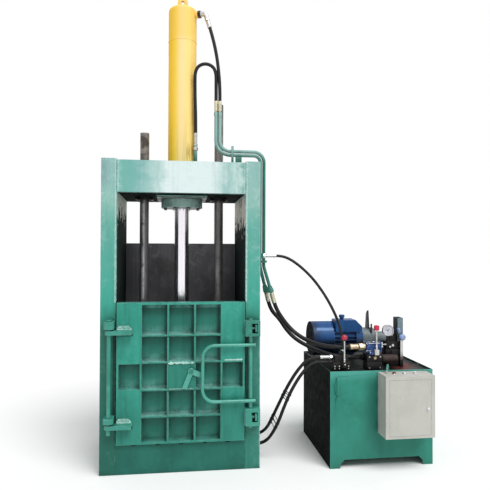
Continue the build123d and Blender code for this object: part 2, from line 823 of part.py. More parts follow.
# Lock brackets: boxes open towards the column, each with a window for its keeper
with BuildPart() as lock_brackets:
    for low, high in bracket_z:
        with BuildSketch(Plane.XY.offset(low)):
            with Locations(
                (
                    door_half_w + bracket_w / 2,
                    (bracket_front_y + front_y - bracket_column_gap) / 2,
                )
            ):
                Rectangle(bracket_w, front_y - bracket_column_gap - bracket_front_y)
        extrude(amount=high - low)
        with BuildSketch(Plane.XY.offset(low + bracket_t)):
            with Locations(
                (
                    door_half_w + bracket_w / 2,
                    (bracket_front_y + bracket_t + front_y - bracket_column_gap) / 2,
                )
            ):
                Rectangle(
                    bracket_w - 2 * bracket_t,
                    front_y - bracket_column_gap - bracket_front_y - bracket_t,
                )
        extrude(amount=high - low - 2 * bracket_t, mode=Mode.SUBTRACT)
        with BuildSketch(Plane.XZ.offset(-bracket_front_y - bracket_t)):
            with Locations((window_x, (low + high) / 2)):
                Rectangle(window_w, window_h)
        extrude(amount=bracket_t, mode=Mode.SUBTRACT)
        with BuildSketch(Plane.XY.offset(low)):
            with Locations((lock_x, lock_y)):
                Circle(lock_shaft_d / 2 + run_fit)
        extrude(amount=high - low, mode=Mode.SUBTRACT)
lock_brackets.part.label = "lock_brackets"
export_step(lock_brackets.part, "parts/lock_brackets.step")

with BuildPart() as keeper_lugs:
    with BuildSketch(Plane.XZ.offset(-front_y)):
        with Locations(*[(keeper_x, (low + high) / 2) for low, high in bracket_z]):
            Rectangle(keeper_t, keeper_h)
    extrude(amount=keeper_reach)
keeper_lugs.part.label = "keeper_lugs"
export_step(keeper_lugs.part, "parts/keeper_lugs.step")

# Lock handle: the shaft with its two cams and the U-shaped bar welded in front of it
bar_y = lock_y - lock_shaft_d / 2 - bar_d / 2 + 2
with BuildPart() as lock_handle:
    with BuildSketch(Plane.XY.offset(lock_low_z)):
        with Locations((lock_x, lock_y)):
            Circle(lock_shaft_d / 2)
    extrude(amount=lock_top_z - lock_low_z)
    for low, high in bracket_z:
        with BuildSketch(Plane.XY.offset((low + high) / 2 - cam_t / 2)):
            with Locations((lock_x + cam_reach / 2, lock_y)):
                Rectangle(cam_reach, cam_w)
        extrude(amount=cam_t)
    with BuildLine() as bar_path:
        FilletPolyline(
            (bar_right_x, bar_y, bar_high_z),
            (bar_left_x, bar_y, bar_high_z),
            (bar_left_x, bar_y, bar_low_z),
            (bar_right_x, bar_y, bar_low_z),
            radius=bar_corner_r,
        )
    with BuildSketch(Plane(origin=(bar_right_x, bar_y, bar_high_z), z_dir=(-1, 0, 0))):
        Circle(bar_d / 2)
    sweep(path=bar_path.line)
lock_handle.part.label = "lock_handle"
export_step(lock_handle.part, "parts/lock_handle.step")

# Latch pawl on the door's centre plate: a tail arm and a beak behind the U-shaped bar
pawl_back_y = door_front_y - pawl_gap
tail_len = math.hypot(pawl_tail_x - pawl_x, pawl_tail_z - pawl_z)
beak_len = math.hypot(pawl_beak_x - pawl_x, pawl_beak_z - pawl_z)
tail_dir = math.degrees(math.atan2(pawl_tail_z - pawl_z, pawl_tail_x - pawl_x))
beak_dir = math.degrees(math.atan2(pawl_beak_z - pawl_z, pawl_beak_x - pawl_x))
with BuildPart() as latch_pawl:
    with BuildSketch(Plane.XZ.offset(-pawl_back_y)):
        with Locations((pawl_x, pawl_z)):
            Circle(pawl_boss_r)
        with Locations(Location(((pawl_x + pawl_tail_x) / 2, (pawl_z + pawl_tail_z) / 2), tail_dir)):
            Rectangle(tail_len, pawl_arm_w)
        with Locations(Location(((pawl_x + pawl_beak_x) / 2, (pawl_z + pawl_beak_z) / 2), beak_dir)):
            Trapezoid(beak_len, pawl_arm_w * 1.1, 90, 72)
        with Locations((pawl_x, pawl_z)):
            Circle(pawl_bolt_d / 2 + run_fit, mode=Mode.SUBTRACT)
    extrude(amount=pawl_t)
latch_pawl.part.label = "latch_pawl"
export_step(latch_pawl.part, "parts/latch_pawl.step")

# Bale ejector: pusher plate on two necks through the floor, a carriage and its rod
pusher_rear_y = floor_rear_y - pusher_wall_gap
pusher_front_y = pusher_rear_y - pusher_t
neck_front_y = pusher_front_y - neck_d
carriage_top_z = bearer_h - 6
with BuildPart() as ejector_pusher:
    with BuildSketch(Plane.XY.offset(floor_top_z + pusher_floor_gap)):
        with Locations((0, pusher_rear_y - pusher_t / 2)):
            Rectangle(pusher_w, pusher_t)
    extrude(amount=pusher_h)
    with BuildSketch(Plane.XY.offset(ejector_z)):
        with Locations(
            (neck_x, (neck_front_y + pusher_rear_y) / 2), (-neck_x, (neck_front_y + pusher_rear_y) / 2)
        ):
            Rectangle(neck_w, pusher_rear_y - neck_front_y)
    extrude(amount=floor_top_z + 2 * pusher_floor_gap + neck_d - ejector_z)
    with BuildSketch(Plane.XY.offset(ejector_z - ejector_d / 2)):
        with Locations((0, (neck_front_y + pusher_rear_y) / 2)):
            Rectangle(2 * neck_x + neck_w, pusher_rear_y - neck_front_y)
    extrude(amount=carriage_top_z - ejector_z + ejector_d / 2)
    with BuildSketch(Plane.XZ.offset(-ejector_rear_y + ejector_end_t + 4)):
        with Locations((0, ejector_z)):
            Circle(ejector_rod_d / 2)
    extrude(amount=-(neck_front_y - ejector_rear_y + ejector_end_t + 4))
    with BuildSketch(Plane.XZ.offset(-ejector_rear_y + ejector_end_t + 4)):
        with Locations((0, ejector_z)):
            Circle(ejector_bore_d / 2 - run_fit)
    extrude(amount=ejector_piston_t)
ejector_pusher.part.label = "ejector_pusher"
export_step(ejector_pusher.part, "parts/ejector_pusher.step")

# Ejector cylinder, held by a cradle on the tie plate, with a pipe to each port
with BuildPart() as ejector_cylinder:
    with BuildSketch(Plane.XZ.offset(-ejector_front_y)):
        with Locations((0, ejector_z)):
            Circle(ejector_d / 2)
    extrude(amount=-(ejector_rear_y - ejector_front_y))
    with BuildSketch(Plane.XY.offset(bearer_flange_t)):
        Rectangle(ejector_d, tie_plate_d * 0.6)
    extrude(amount=ejector_z - bearer_flange_t)
    with BuildSketch(Plane.XZ.offset(-ejector_front_y - ejector_end_t)):
        with Locations((0, ejector_z)):
            Circle(ejector_bore_d / 2)
    extrude(amount=-(ejector_rear_y - ejector_front_y - 2 * ejector_end_t), mode=Mode.SUBTRACT)
    with BuildSketch(Plane.XZ.offset(-ejector_rear_y + ejector_end_t)):
        with Locations((0, ejector_z)):
            Circle(ejector_rod_d / 2 + run_fit)
    extrude(amount=-ejector_end_t, mode=Mode.SUBTRACT)
    for y in ejector_port_y:
        with BuildSketch(Plane.YZ.offset(ejector_d / 2 - 3)):
            with Locations((y, ejector_z)):
                Circle(ejector_pipe_d / 2)
        extrude(amount=ejector_d / 2, mode=Mode.SUBTRACT)
ejector_cylinder.part.label = "ejector_cylinder"
export_step(ejector_cylinder.part, "parts/ejector_cylinder.step")

with BuildPart() as ejector_pipes:
    for y in ejector_port_y:
        with BuildSketch(Plane.YZ.offset(ejector_d / 2 - 3)):
            with Locations((y, ejector_z)):
                Circle(ejector_pipe_d / 2)
        extrude(amount=open_x + skin_t - ejector_d / 2 + 3)
        with BuildSketch(Plane.YZ.offset(open_x + skin_t)):
            with Locations((y, ejector_z)):
                RegularPolygon(nut_w / 2, 6, major_radius=False)
        extrude(amount=skin_t)
ejector_pipes.part.label = "ejector_pipes"
export_step(ejector_pipes.part, "parts/ejector_pipes.step")

# Steel pipes from the hose ends over the beam and down the right side
pipe_starts = [pipe_lower_x, pipe_lower_x + pipe_step]
pipe_levels = [pipe_low_z, pipe_low_z + pipe_step]
pipe_downs = [pipe_down_x, pipe_down_x + pipe_step]
pipe_bends = [pipe_low_bend_r, pipe_low_bend_r - pipe_step]
pipe_corners = [pipe_corner_r, pipe_corner_r + pipe_step]
pipe_ends = [
    Vector(pipe_down_x + pipe_splay, pipe_y + pipe_d * 2, pipe_end_z),
    Vector(pipe_down_x + pipe_step + pipe_splay, pipe_y, pipe_end_z),
]
with BuildPart() as ram_pipes:
    for i in range(2):
        with BuildLine() as pipe_path:
            FilletPolyline(
                (pipe_starts[i], pipe_y, pipe_top_z),
                (pipe_starts[i], pipe_y, pipe_levels[i]),
                (pipe_downs[i], pipe_y, pipe_levels[i]),
                (pipe_downs[i], pipe_y, pipe_slant_z),
                pipe_ends[i],
                radius=[pipe_bends[i], pipe_corners[i], 120],
            )
        with BuildSketch(Plane(origin=(pipe_starts[i], pipe_y, pipe_top_z), z_dir=(0, 0, -1))):
            Circle(pipe_d / 2)
        sweep(path=pipe_path.line)
ram_pipes.part.label = "ram_pipes"
export_step(ram_pipes.part, "parts/ram_pipes.step")

# Clamp bar in front of the pipes, rest block under them, and the clamp on the side frame
with BuildPart() as pipe_clamps:
    with BuildSketch(Plane.XY.offset(beam_top_z)):
        with Locations((clamp_bar_x, pipe_y - pipe_d / 2 - clamp_bar_t / 2)):
            Rectangle(clamp_bar_w, clamp_bar_t)
    extrude(amount=clamp_bar_h)
    with BuildSketch(Plane.XY.offset(beam_top_z)):
        with Locations((rest_block_x, pipe_y)):
            Rectangle(rest_block_w, pipe_d + 8)
    extrude(amount=pipe_low_z - pipe_d / 2 - beam_top_z)
    with BuildSketch(Plane.XY.offset(side_clamp_z - 8)):
        with Locations(((half_w + pipe_down_x + pipe_step + 24) / 2, pipe_y)):
            Rectangle(pipe_down_x + pipe_step + 24 - half_w, pipe_d + 20)
        with Locations((pipe_down_x, pipe_y), (pipe_down_x + pipe_step, pipe_y)):
            Circle(pipe_d / 2, mode=Mode.SUBTRACT)
    extrude(amount=16)
pipe_clamps.part.label = "pipe_clamps"
export_step(pipe_clamps.part, "parts/pipe_clamps.step")

# Cylinder ports: an elbow on the cap and a riser from the rod side up through the beam
port_face = port_dir * (barrel_d / 2 + port_boss_len) + Vector(0, 0, port_z)
elbow_turn = port_dir * (barrel_d / 2 + 88) + Vector(0, 0, port_z)
elbow_end = port_dir * (barrel_d / 2 + 104) + Vector(0, 0, port_z - 50)
riser_r = math.hypot(riser_x, riser_y)
riser_dir = Vector(riser_x / riser_r, riser_y / riser_r, 0)
riser_start = riser_dir * (barrel_d / 2) + Vector(0, 0, riser_start_z)
with BuildPart() as cylinder_ports:
    with BuildLine() as elbow_path:
        FilletPolyline(port_face, elbow_turn, elbow_end, radius=30)
    with BuildSketch(Plane(origin=port_face, z_dir=port_dir)):
        Circle(pipe_d / 2)
    sweep(path=elbow_path.line)
    with BuildLine() as riser_path:
        FilletPolyline(
            riser_start,
            (riser_x, riser_y, riser_start_z),
            (riser_x, riser_y, riser_top_z),
            radius=riser_d / 2 + 4,
        )
    with BuildSketch(Plane(origin=riser_start, z_dir=riser_dir)):
        Circle(riser_d / 2)
    sweep(path=riser_path.line)
cylinder_ports.part.label = "cylinder_ports"
export_step(cylinder_ports.part, "parts/cylinder_ports.step")

# Hose ends: each has its fitting's face, the way out of it, and the sizes of its ferrule and nut
up = Vector(0, 0, 1)
elbow_out = (elbow_end - elbow_turn).normalized()
pipe_outs = [
    (pipe_ends[i] - Vector(pipe_downs[i], pipe_y, pipe_slant_z)).normalized() for i in range(2)
]
blue_x = valve_right_x - 12
fit_elbow = (elbow_end, elbow_out, ferrule_d, ferrule_len * 0.7, nut_w, nut_len * 0.3)
fit_riser = (Vector(riser_x, riser_y, riser_top_z), up, ferrule_d, ferrule_len, nut_w, nut_len * 0.3)
fit_pipe_tops = [
    (Vector(x, pipe_y, pipe_top_z), up, ferrule_d, ferrule_len, nut_w, nut_len) for x in pipe_starts
]
fit_pipe_ends = [
    (pipe_ends[i], pipe_outs[i], hose_d + 6, ferrule_len, nut_w + 16, nut_len) for i in range(2)
]
fit_blue = (
    Vector(blue_x, blue_y, blue_z), Vector(-1, 0, 0),
    big_ferrule_d, ferrule_len * 0.8, big_nut_w, nut_len,
)
fit_block = (
    Vector(valve_right_x, valve_right_y + valve_right_d - 24, lid_top_z + 92), Vector(-1, 0, 0),
    hose_d + 6, ferrule_len * 0.6, nut_w + 16, nut_len * 0.5,
)
fit_side = (
    Vector(half_w + 54, -200, side_clamp_z + 48), Vector(1, 0, 0),
    thin_hose_d + 4, ferrule_len, nut_w + 4, nut_len * 0.4,
)
fit_left_top = (
    Vector(lever_left_x + 6, valve_left_y + valve_left_d - 13, lid_top_z + valve_left_h), up,
    thin_hose_d + 4, ferrule_len * 0.4, nut_w + 2, nut_len * 0.3,
)
fit_left_side = [
    (
        Vector(valve_left_x, valve_left_y + 24 + 8 * i, 850 - 40 * i), Vector(-1, 0, 0),
        twin_hose_d + 4, ferrule_len * 0.85, nut_w + 4, nut_len * 0.4,
    )
    for i in range(2)
]
fit_base = [
    (
        Vector(open_x + 2 * skin_t, y, ejector_z), Vector(1, 0, 0),
        twin_hose_d + 4, ferrule_len * 0.3, nut_w + 4, nut_len * 0.2,
    )
    for y in ejector_port_y
]


def fitting_end(fit):
    return fit[0] + fit[1] * (fit[3] + fit[5])


all_fits = (
    [fit_elbow, fit_riser] + fit_pipe_tops + fit_pipe_ends
    + [fit_blue, fit_block, fit_side, fit_left_top] + fit_left_side + fit_base
)
with BuildPart() as hose_ferrules:
    for face, out, sleeve_d, sleeve_len, hex_w, hex_len in all_fits:
        with BuildSketch(Plane(origin=face, z_dir=out)):
            RegularPolygon(hex_w / 2, 6, major_radius=False, rotation=30)
        extrude(amount=hex_len)
        with BuildSketch(Plane(origin=face + out * hex_len, z_dir=out)):
            Circle(sleeve_d / 2)
        extrude(amount=sleeve_len)
    with BuildSketch(Plane.YZ.offset(half_w)):
        with Locations((fit_side[0].Y, fit_side[0].Z)):
            Rectangle(side_block_w, side_block_w)
    extrude(amount=fit_side[0].X - half_w)
hose_ferrules.part.label = "hose_ferrules"
export_step(hose_ferrules.part, "parts/hose_ferrules.step")

# Hoses: each leaves both of its fittings in line with them, for the lead lengths given
hose_routes = {
    "hose_cap_side": (top_hose_d, fit_elbow, 88, [
        (282, -118, beam_top_z + 940), (301, -122, beam_top_z + 785),
    ], 100, fit_pipe_tops[1]),
    "hose_rod_side": (top_hose_d, fit_riser, 115, [
        (105, -106, beam_top_z + 545), (102, -112, beam_top_z + 685),
        (103, -118, beam_top_z + 810), (154, -122, beam_top_z + 861),
        (226, -124, beam_top_z + 861), (277, -124, beam_top_z + 810),
    ], 118, fit_pipe_tops[0]),
    "hose_supply_front": (hose_d, fit_pipe_ends[1], 60, [
        (865, -125, 1100), (925, -152, 1030), (994, -205, 978), (1076, -280, 942),
        (1162, -350, 929),
    ], 92, fit_blue),
    "hose_supply_rear": (hose_d, fit_pipe_ends[0], 84, [
        (842, -8, 1113), (900, -22, 1019), (974, -58, 942), (1068, -118, 890),
        (1154, -196, 858), (1225, -270, 841),
    ], 100, fit_block),
    "hose_pilot": (thin_hose_d, fit_side, 62, [
        (938, -212, 1603), (1057, -236, 1495), (1140, -266, 1383), (1209, -300, 1261),
        (1260, -334, 1138),
    ], 72, fit_left_top),
    "hose_ejector_rear": (twin_hose_d, fit_left_side[0], 92, [
        (914, -376, 748), (842, -346, 618), (786, -284, 466), (748, -186, 320),
        (716, -70, 186),
    ], 90, fit_base[1]),
    "hose_ejector_front": (twin_hose_d, fit_left_side[1], 62, [
        (946, -386, 724), (868, -376, 595), (817, -345, 460), (778, -298, 316),
        (714, -238, 166),
    ], 84, fit_base[0]),
}
for hose_name, (tube_d, fit_a, lead_a, middle, lead_b, fit_b) in hose_routes.items():
    end_a = fitting_end(fit_a)
    end_b = fitting_end(fit_b)
    points = [end_a, end_a + fit_a[1] * lead_a]
    points += [Vector(*p) for p in middle]
    points += [end_b + fit_b[1] * lead_b, end_b]
    runs = [(b - a).length for a, b in zip(points, points[1:])]
    radii = []
    for i in range(1, len(points) - 1):
        turn = (points[i] - points[i - 1]).get_angle(points[i + 1] - points[i])
        radii.append(0.45 * min(runs[i - 1], runs[i]) / math.tan(math.radians(turn / 2)))
    with BuildPart() as hose:
        with BuildLine() as hose_path:
            FilletPolyline(*points, radius=radii)
        with BuildSketch(Plane(origin=end_a, z_dir=fit_a[1])):
            Circle(tube_d / 2)
        sweep(path=hose_path.line)
    hose.part.label = hose_name
    export_step(hose.part, "parts/" + hose_name + ".step")
    length = sum(edge.length for edge in hose_path.edges())
    share = hose.part.volume / (math.pi * tube_d**2 / 4 * length)
    print(
        hose_name, "length", round(length), "runs", [round(r) for r in runs],
        "radii", [round(r) for r in radii], "volume share", round(share, 4),
    )

# Tank: walls down to the feet, a raised bottom, a ledge for the lid and a grab handle
tank_cx = tank_x + tank_w / 2
tank_cy = tank_y + tank_d / 2
with BuildPart() as tank_shell:
    with BuildSketch(Plane.XY):
        with Locations((tank_cx, tank_cy)):
            Rectangle(tank_w, tank_d)
            Rectangle(tank_w - 2 * tank_wall, tank_d - 2 * tank_wall, mode=Mode.SUBTRACT)
    extrude(amount=tank_top_z)
    with BuildSketch(Plane.XY.offset(tank_floor_z)):
        with Locations((tank_cx, tank_cy)):
            Rectangle(tank_w, tank_d)
    extrude(amount=tank_wall)
    with BuildSketch(Plane.XY.offset(lid_top_z - lid_t - tank_wall)):
        with Locations((tank_cx, tank_cy)):
            Rectangle(tank_w, tank_d)
            Rectangle(tank_w - 2 * ledge_w, tank_d - 2 * ledge_w, mode=Mode.SUBTRACT)
    extrude(amount=tank_wall)
    with BuildSketch(Plane.XZ.offset(-tank_y)):
        with BuildLine():
            Polyline(
                (tank_x + foot_w, 0),
                (tank_x + foot_w, tank_floor_z * 0.5),
                (tank_x + foot_w + tank_floor_z * 0.5, tank_floor_z),
                (tank_x + tank_w - foot_w - tank_floor_z * 0.5, tank_floor_z),
                (tank_x + tank_w - foot_w, tank_floor_z * 0.5),
                (tank_x + tank_w - foot_w, 0),
                close=True,
            )
        make_face()
    extrude(amount=-tank_d, mode=Mode.SUBTRACT)
    with BuildLine() as grab_path:
        FilletPolyline(
            (grab_x, tank_y, grab_low_z),
            (grab_x, tank_y - grab_reach, grab_low_z),
            (grab_x, tank_y - grab_reach, grab_high_z),
            (grab_x, tank_y, grab_high_z),
            radius=12,
        )
    with BuildSketch(Plane(origin=(grab_x, tank_y, grab_low_z), z_dir=(0, -1, 0))):
        Circle(grab_d / 2)
    sweep(path=grab_path.line)
tank_shell.part.label = "tank_shell"
export_step(tank_shell.part, "parts/tank_shell.step")

with BuildPart() as tank_lid:
    with BuildSketch(Plane.XY.offset(lid_top_z - lid_t)):
        with Locations((tank_cx, tank_cy)):
            Rectangle(tank_w - 2 * tank_wall, tank_d - 2 * tank_wall)
    extrude(amount=lid_t)
tank_lid.part.label = "tank_lid"
export_step(tank_lid.part, "parts/tank_lid.step")

# Motor: finned stator with a tapered drive end and a foot on the lid
cowl_right_x = motor_left_x + cowl_len
motor_plane = Plane(origin=(0, motor_y, motor_z), x_dir=(0, 1, 0), z_dir=(1, 0, 0))
with BuildPart() as motor_body:
    with BuildSketch(motor_plane.offset(cowl_right_x)):
        Circle(motor_core_r)
        with PolarLocations(0, fin_count):
            with Locations(((motor_r + motor_core_r) / 2 - 4, 0)):
                Rectangle(motor_r - motor_core_r + 8, fin_t)
    extrude(amount=stator_right_x - cowl_right_x)
    with BuildSketch(motor_plane.offset(stator_right_x)):
        Circle(motor_r)
    with BuildSketch(motor_plane.offset(motor_right_x)):
        Circle(motor_nose_r)
    loft()
    with BuildSketch(Plane.XY.offset(lid_top_z)):
        with Locations(((cowl_right_x + stator_right_x) / 2, motor_y)):
            Rectangle(motor_foot_len, motor_foot_w)
    extrude(amount=motor_foot_t)
    with BuildSketch(Plane.XY.offset(lid_top_z)):
        with Locations(((cowl_right_x + stator_right_x) / 2, motor_y)):
            Rectangle(motor_foot_len, motor_foot_w * 0.7)
    extrude(amount=motor_z - lid_top_z)
    with BuildSketch(motor_plane.offset(cowl_right_x)):
        Circle(shaft_d / 2 + run_fit)
    extrude(amount=motor_right_x - cowl_right_x, mode=Mode.SUBTRACT)
motor_body.part.label = "motor_body"
export_step(motor_body.part, "parts/motor_body.step")

with BuildPart() as motor_cowl:
    with BuildSketch(motor_plane.offset(motor_left_x)):
        Circle(motor_r)
    extrude(amount=cowl_len)
    with BuildSketch(motor_plane.offset(motor_left_x + cowl_t)):
        Circle(motor_r - cowl_t)
    extrude(amount=cowl_len - cowl_t, mode=Mode.SUBTRACT)
    with BuildSketch(motor_plane.offset(motor_left_x)):
        with PolarLocations(motor_r * 0.5, 10):
            SlotOverall(motor_r * 0.5, 12)
    extrude(amount=cowl_t, mode=Mode.SUBTRACT)
    with BuildSketch(motor_plane.offset(cowl_right_x - cowl_t)):
        Circle(motor_r)
        Circle(motor_core_r - 2, mode=Mode.SUBTRACT)
    extrude(amount=cowl_t)
motor_cowl.part.label = "motor_cowl"
export_step(motor_cowl.part, "parts/motor_cowl.step")

with BuildPart() as motor_rotor:
    with BuildSketch(motor_plane.offset(motor_left_x + 3 * cowl_t)):
        Circle(shaft_d / 2)
    extrude(amount=bell_right_x - 30 - motor_left_x - 3 * cowl_t)
    with BuildSketch(motor_plane.offset(motor_left_x + cowl_len / 2)):
        Circle(fan_r * 0.4)
        with PolarLocations(0, fan_blades):
            with Locations((fan_r / 2, 0)):
                Rectangle(fan_r, 5)
    extrude(amount=fan_t)
    with BuildSketch(motor_plane.offset(motor_right_x + 20)):
        Circle(shaft_d)
    extrude(amount=bell_right_x - motor_right_x - 54)
motor_rotor.part.label = "motor_rotor"
export_step(motor_rotor.part, "parts/motor_rotor.step")

with BuildPart() as terminal_box:
    with BuildSketch(Plane.XZ.offset(-box_front_y)):
        with BuildLine():
            Polyline(
                (box_left_x, box_low_z),
                (box_left_x, box_top_z),
                (box_right_x - box_slope, box_top_z),
                (box_right_x, box_top_z - box_slope),
                (box_right_x, box_low_z),
                close=True,
            )
        make_face()
    extrude(amount=-(box_back_y - box_front_y))
    with BuildSketch(motor_plane.offset(box_left_x)):
        Circle(motor_r + box_gap)
    extrude(amount=box_right_x - box_left_x, mode=Mode.SUBTRACT)
    with BuildSketch(Plane.XY.offset(box_top_z)):
        with Locations((knob_x, knob_y)):
            Circle(knob_neck_d / 2)
    extrude(amount=knob_neck_h)
    with BuildSketch(Plane.XY.offset(box_top_z + knob_neck_h)):
        with Locations((knob_x, knob_y)):
            Circle(knob_d / 2)
    extrude(amount=knob_h)
terminal_box.part.label = "terminal_box"
export_step(terminal_box.part, "parts/terminal_box.step")

# Bell housing with its upright plate, the vent tube, and the pump on the same axis
with BuildPart() as pump_unit:
    with BuildSketch(motor_plane.offset(motor_right_x)):
        Circle(motor_nose_r)
        Circle(bell_r - bell_t, mode=Mode.SUBTRACT)
    extrude(amount=bell_t)
    with BuildSketch(motor_plane.offset(motor_right_x)):
        Circle(bell_r)
        Circle(bell_r - bell_t, mode=Mode.SUBTRACT)
    extrude(amount=bell_right_x - motor_right_x)
    with BuildSketch(motor_plane.offset(bell_right_x - bell_t)):
        Circle(bell_r)
    extrude(amount=bell_t)
    with BuildSketch(Plane.YZ.offset(gusset_x - gusset_t / 2)):
        with BuildLine():
            Polyline(
                (motor_y - gusset_foot_w / 2, lid_top_z),
                (motor_y - gusset_top_w / 2, gusset_top_z),
                (motor_y + gusset_top_w / 2, gusset_top_z - 30),
                (motor_y + gusset_foot_w / 2, lid_top_z),
                close=True,
            )
        make_face()
        with Locations((motor_y, motor_z)):
            Circle(bell_r - bell_t, mode=Mode.SUBTRACT)
    extrude(amount=gusset_t)
    with BuildSketch(Plane.XY.offset(motor_z)):
        with Locations((vent_x, motor_y - bell_r + vent_d)):
            Circle(vent_d / 2)
    extrude(amount=vent_top_z - motor_z)
    with BuildSketch(motor_plane.offset(bell_right_x)):
        Circle(pump_flange_r)
    extrude(amount=16)
    with BuildSketch(motor_plane.offset(bell_right_x)):
        Circle(pump_r)
    extrude(amount=pump_right_x - bell_right_x)
pump_unit.part.label = "pump_unit"
export_step(pump_unit.part, "parts/pump_unit.step")

# Black valve blocks: each stands on the lid; the left one carries its lever's fork
fork_y = lever_boss_t / 2 + lever_gap + lever_cheek_t / 2
fork_low = 22.0
fork_w = 26.0
with BuildPart() as valve_blocks:
    with BuildSketch(Plane.XY.offset(lid_top_z)):
        with Locations((valve_left_x + valve_left_w / 2, valve_left_y + valve_left_d / 2)):
            Rectangle(valve_left_w, valve_left_d)
    extrude(amount=valve_left_h)
    with BuildSketch(Plane.XY.offset(lid_top_z)):
        with Locations((valve_right_x + valve_right_w / 2, valve_right_y + valve_right_d / 2)):
            Rectangle(valve_right_w, valve_right_d)
    extrude(amount=valve_right_h)
    with BuildSketch(Plane.XY.offset(lever_left_z - fork_low)):
        with Locations(
            (lever_left_x, (valve_left_y + lever_left_y - fork_y - lever_cheek_t / 2) / 2)
        ):
            Rectangle(fork_w, valve_left_y - lever_left_y + fork_y + lever_cheek_t / 2)
    extrude(amount=lever_cheek_t)
    with BuildSketch(Plane.XY.offset(lever_left_z - fork_low)):
        with Locations((lever_left_x, lever_left_y - fork_y), (lever_left_x, lever_left_y + fork_y)):
            Rectangle(fork_w, lever_cheek_t)
    extrude(amount=fork_low + lever_pin_d)
    with BuildSketch(Plane.XZ.offset(-lever_left_y - fork_y - lever_cheek_t / 2)):
        with Locations((lever_left_x, lever_left_z)):
            Circle(lever_pin_d / 2)
    extrude(amount=2 * fork_y + lever_cheek_t)
valve_blocks.part.label = "valve_blocks"
export_step(valve_blocks.part, "parts/valve_blocks.step")

# Blue body of the right-hand valve on its black block, with its own lever fork
blue_base_d = blue_r * 1.5
blue_front_y = blue_y - blue_base_d / 2
with BuildPart() as valve_body:
    with BuildSketch(Plane.YZ.offset(blue_x)):
        with Locations((blue_y, blue_z)):
            Circle(blue_r)
    extrude(amount=blue_len)
    with BuildSketch(Plane.XY.offset(lid_top_z + valve_right_h)):
        with Locations((valve_right_x + valve_right_w / 2, blue_y)):
            Rectangle(valve_right_w * 0.8, blue_base_d)
    extrude(amount=blue_z - lid_top_z - valve_right_h)
    with BuildSketch(Plane.XY.offset(lever_right_z - fork_low)):
        with Locations(
            (lever_right_x, (blue_front_y + lever_right_y - fork_y - lever_cheek_t / 2) / 2)
        ):
            Rectangle(fork_w, blue_front_y - lever_right_y + fork_y + lever_cheek_t / 2)
    extrude(amount=lever_cheek_t)
    with BuildSketch(Plane.XY.offset(lever_right_z - fork_low)):
        with Locations((lever_right_x, lever_right_y - fork_y), (lever_right_x, lever_right_y + fork_y)):
            Rectangle(fork_w, lever_cheek_t)
    extrude(amount=fork_low + lever_pin_d)
    with BuildSketch(Plane.XZ.offset(-lever_right_y - fork_y - lever_cheek_t / 2)):
        with Locations((lever_right_x, lever_right_z)):
            Circle(lever_pin_d / 2)
    extrude(amount=2 * fork_y + lever_cheek_t)
valve_body.part.label = "valve_body"
export_step(valve_body.part, "parts/valve_body.step")

# Valve levers: a boss on the fork's pin, a rod and a knob
lever_boss_r = lever_boss_t / 2 + 2
with BuildPart() as lever_left:
    with BuildSketch(Plane.XZ.offset(-lever_left_y - lever_boss_t / 2)):
        with Locations((lever_left_x, lever_left_z)):
            Circle(lever_boss_r)
    extrude(amount=lever_boss_t)
    with BuildSketch(Plane.XY.offset(lever_left_z)):
        with Locations((lever_left_x, lever_left_y)):
            Circle(lever_d / 2)
    extrude(amount=lever_left_top_z - lever_left_z)
    with Locations((lever_left_x, lever_left_y, lever_left_top_z)):
        Sphere(ball_d / 2)
    with BuildSketch(Plane.XZ.offset(-lever_left_y - lever_boss_t / 2)):
        with Locations((lever_left_x, lever_left_z)):
            Circle(lever_pin_d / 2 + run_fit)
    extrude(amount=lever_boss_t, mode=Mode.SUBTRACT)
lever_left.part.label = "lever_left"
export_step(lever_left.part, "parts/lever_left.step")

with BuildPart() as lever_right:
    with BuildSketch(Plane.XZ.offset(-lever_right_y - lever_boss_t / 2)):
        with Locations((lever_right_x, lever_right_z)):
            Circle(lever_boss_r)
    extrude(amount=lever_boss_t)
    with BuildSketch(Plane.XY.offset(lever_right_z)):
        with Locations((lever_right_x, lever_right_y)):
            Circle(lever_d / 2)
    extrude(amount=lever_right_top_z - lever_right_z)
    with BuildSketch(Plane.XY.offset(lever_right_top_z - ball_d * 0.45)):
        with Locations((lever_right_x, lever_right_y)):
            Circle(ball_d * 0.48)
    extrude(amount=ball_d * 0.9)
    fillet(lever_right.edges().filter_by(GeomType.CIRCLE).group_by(Axis.Z)[-1], 8)
    with BuildSketch(Plane.XZ.offset(-lever_right_y - lever_boss_t / 2)):
        with Locations((lever_right_x, lever_right_z)):
            Circle(lever_pin_d / 2 + run_fit)
    extrude(amount=lever_boss_t, mode=Mode.SUBTRACT)
lever_right.part.label = "lever_right"
export_step(lever_right.part, "parts/lever_right.step")

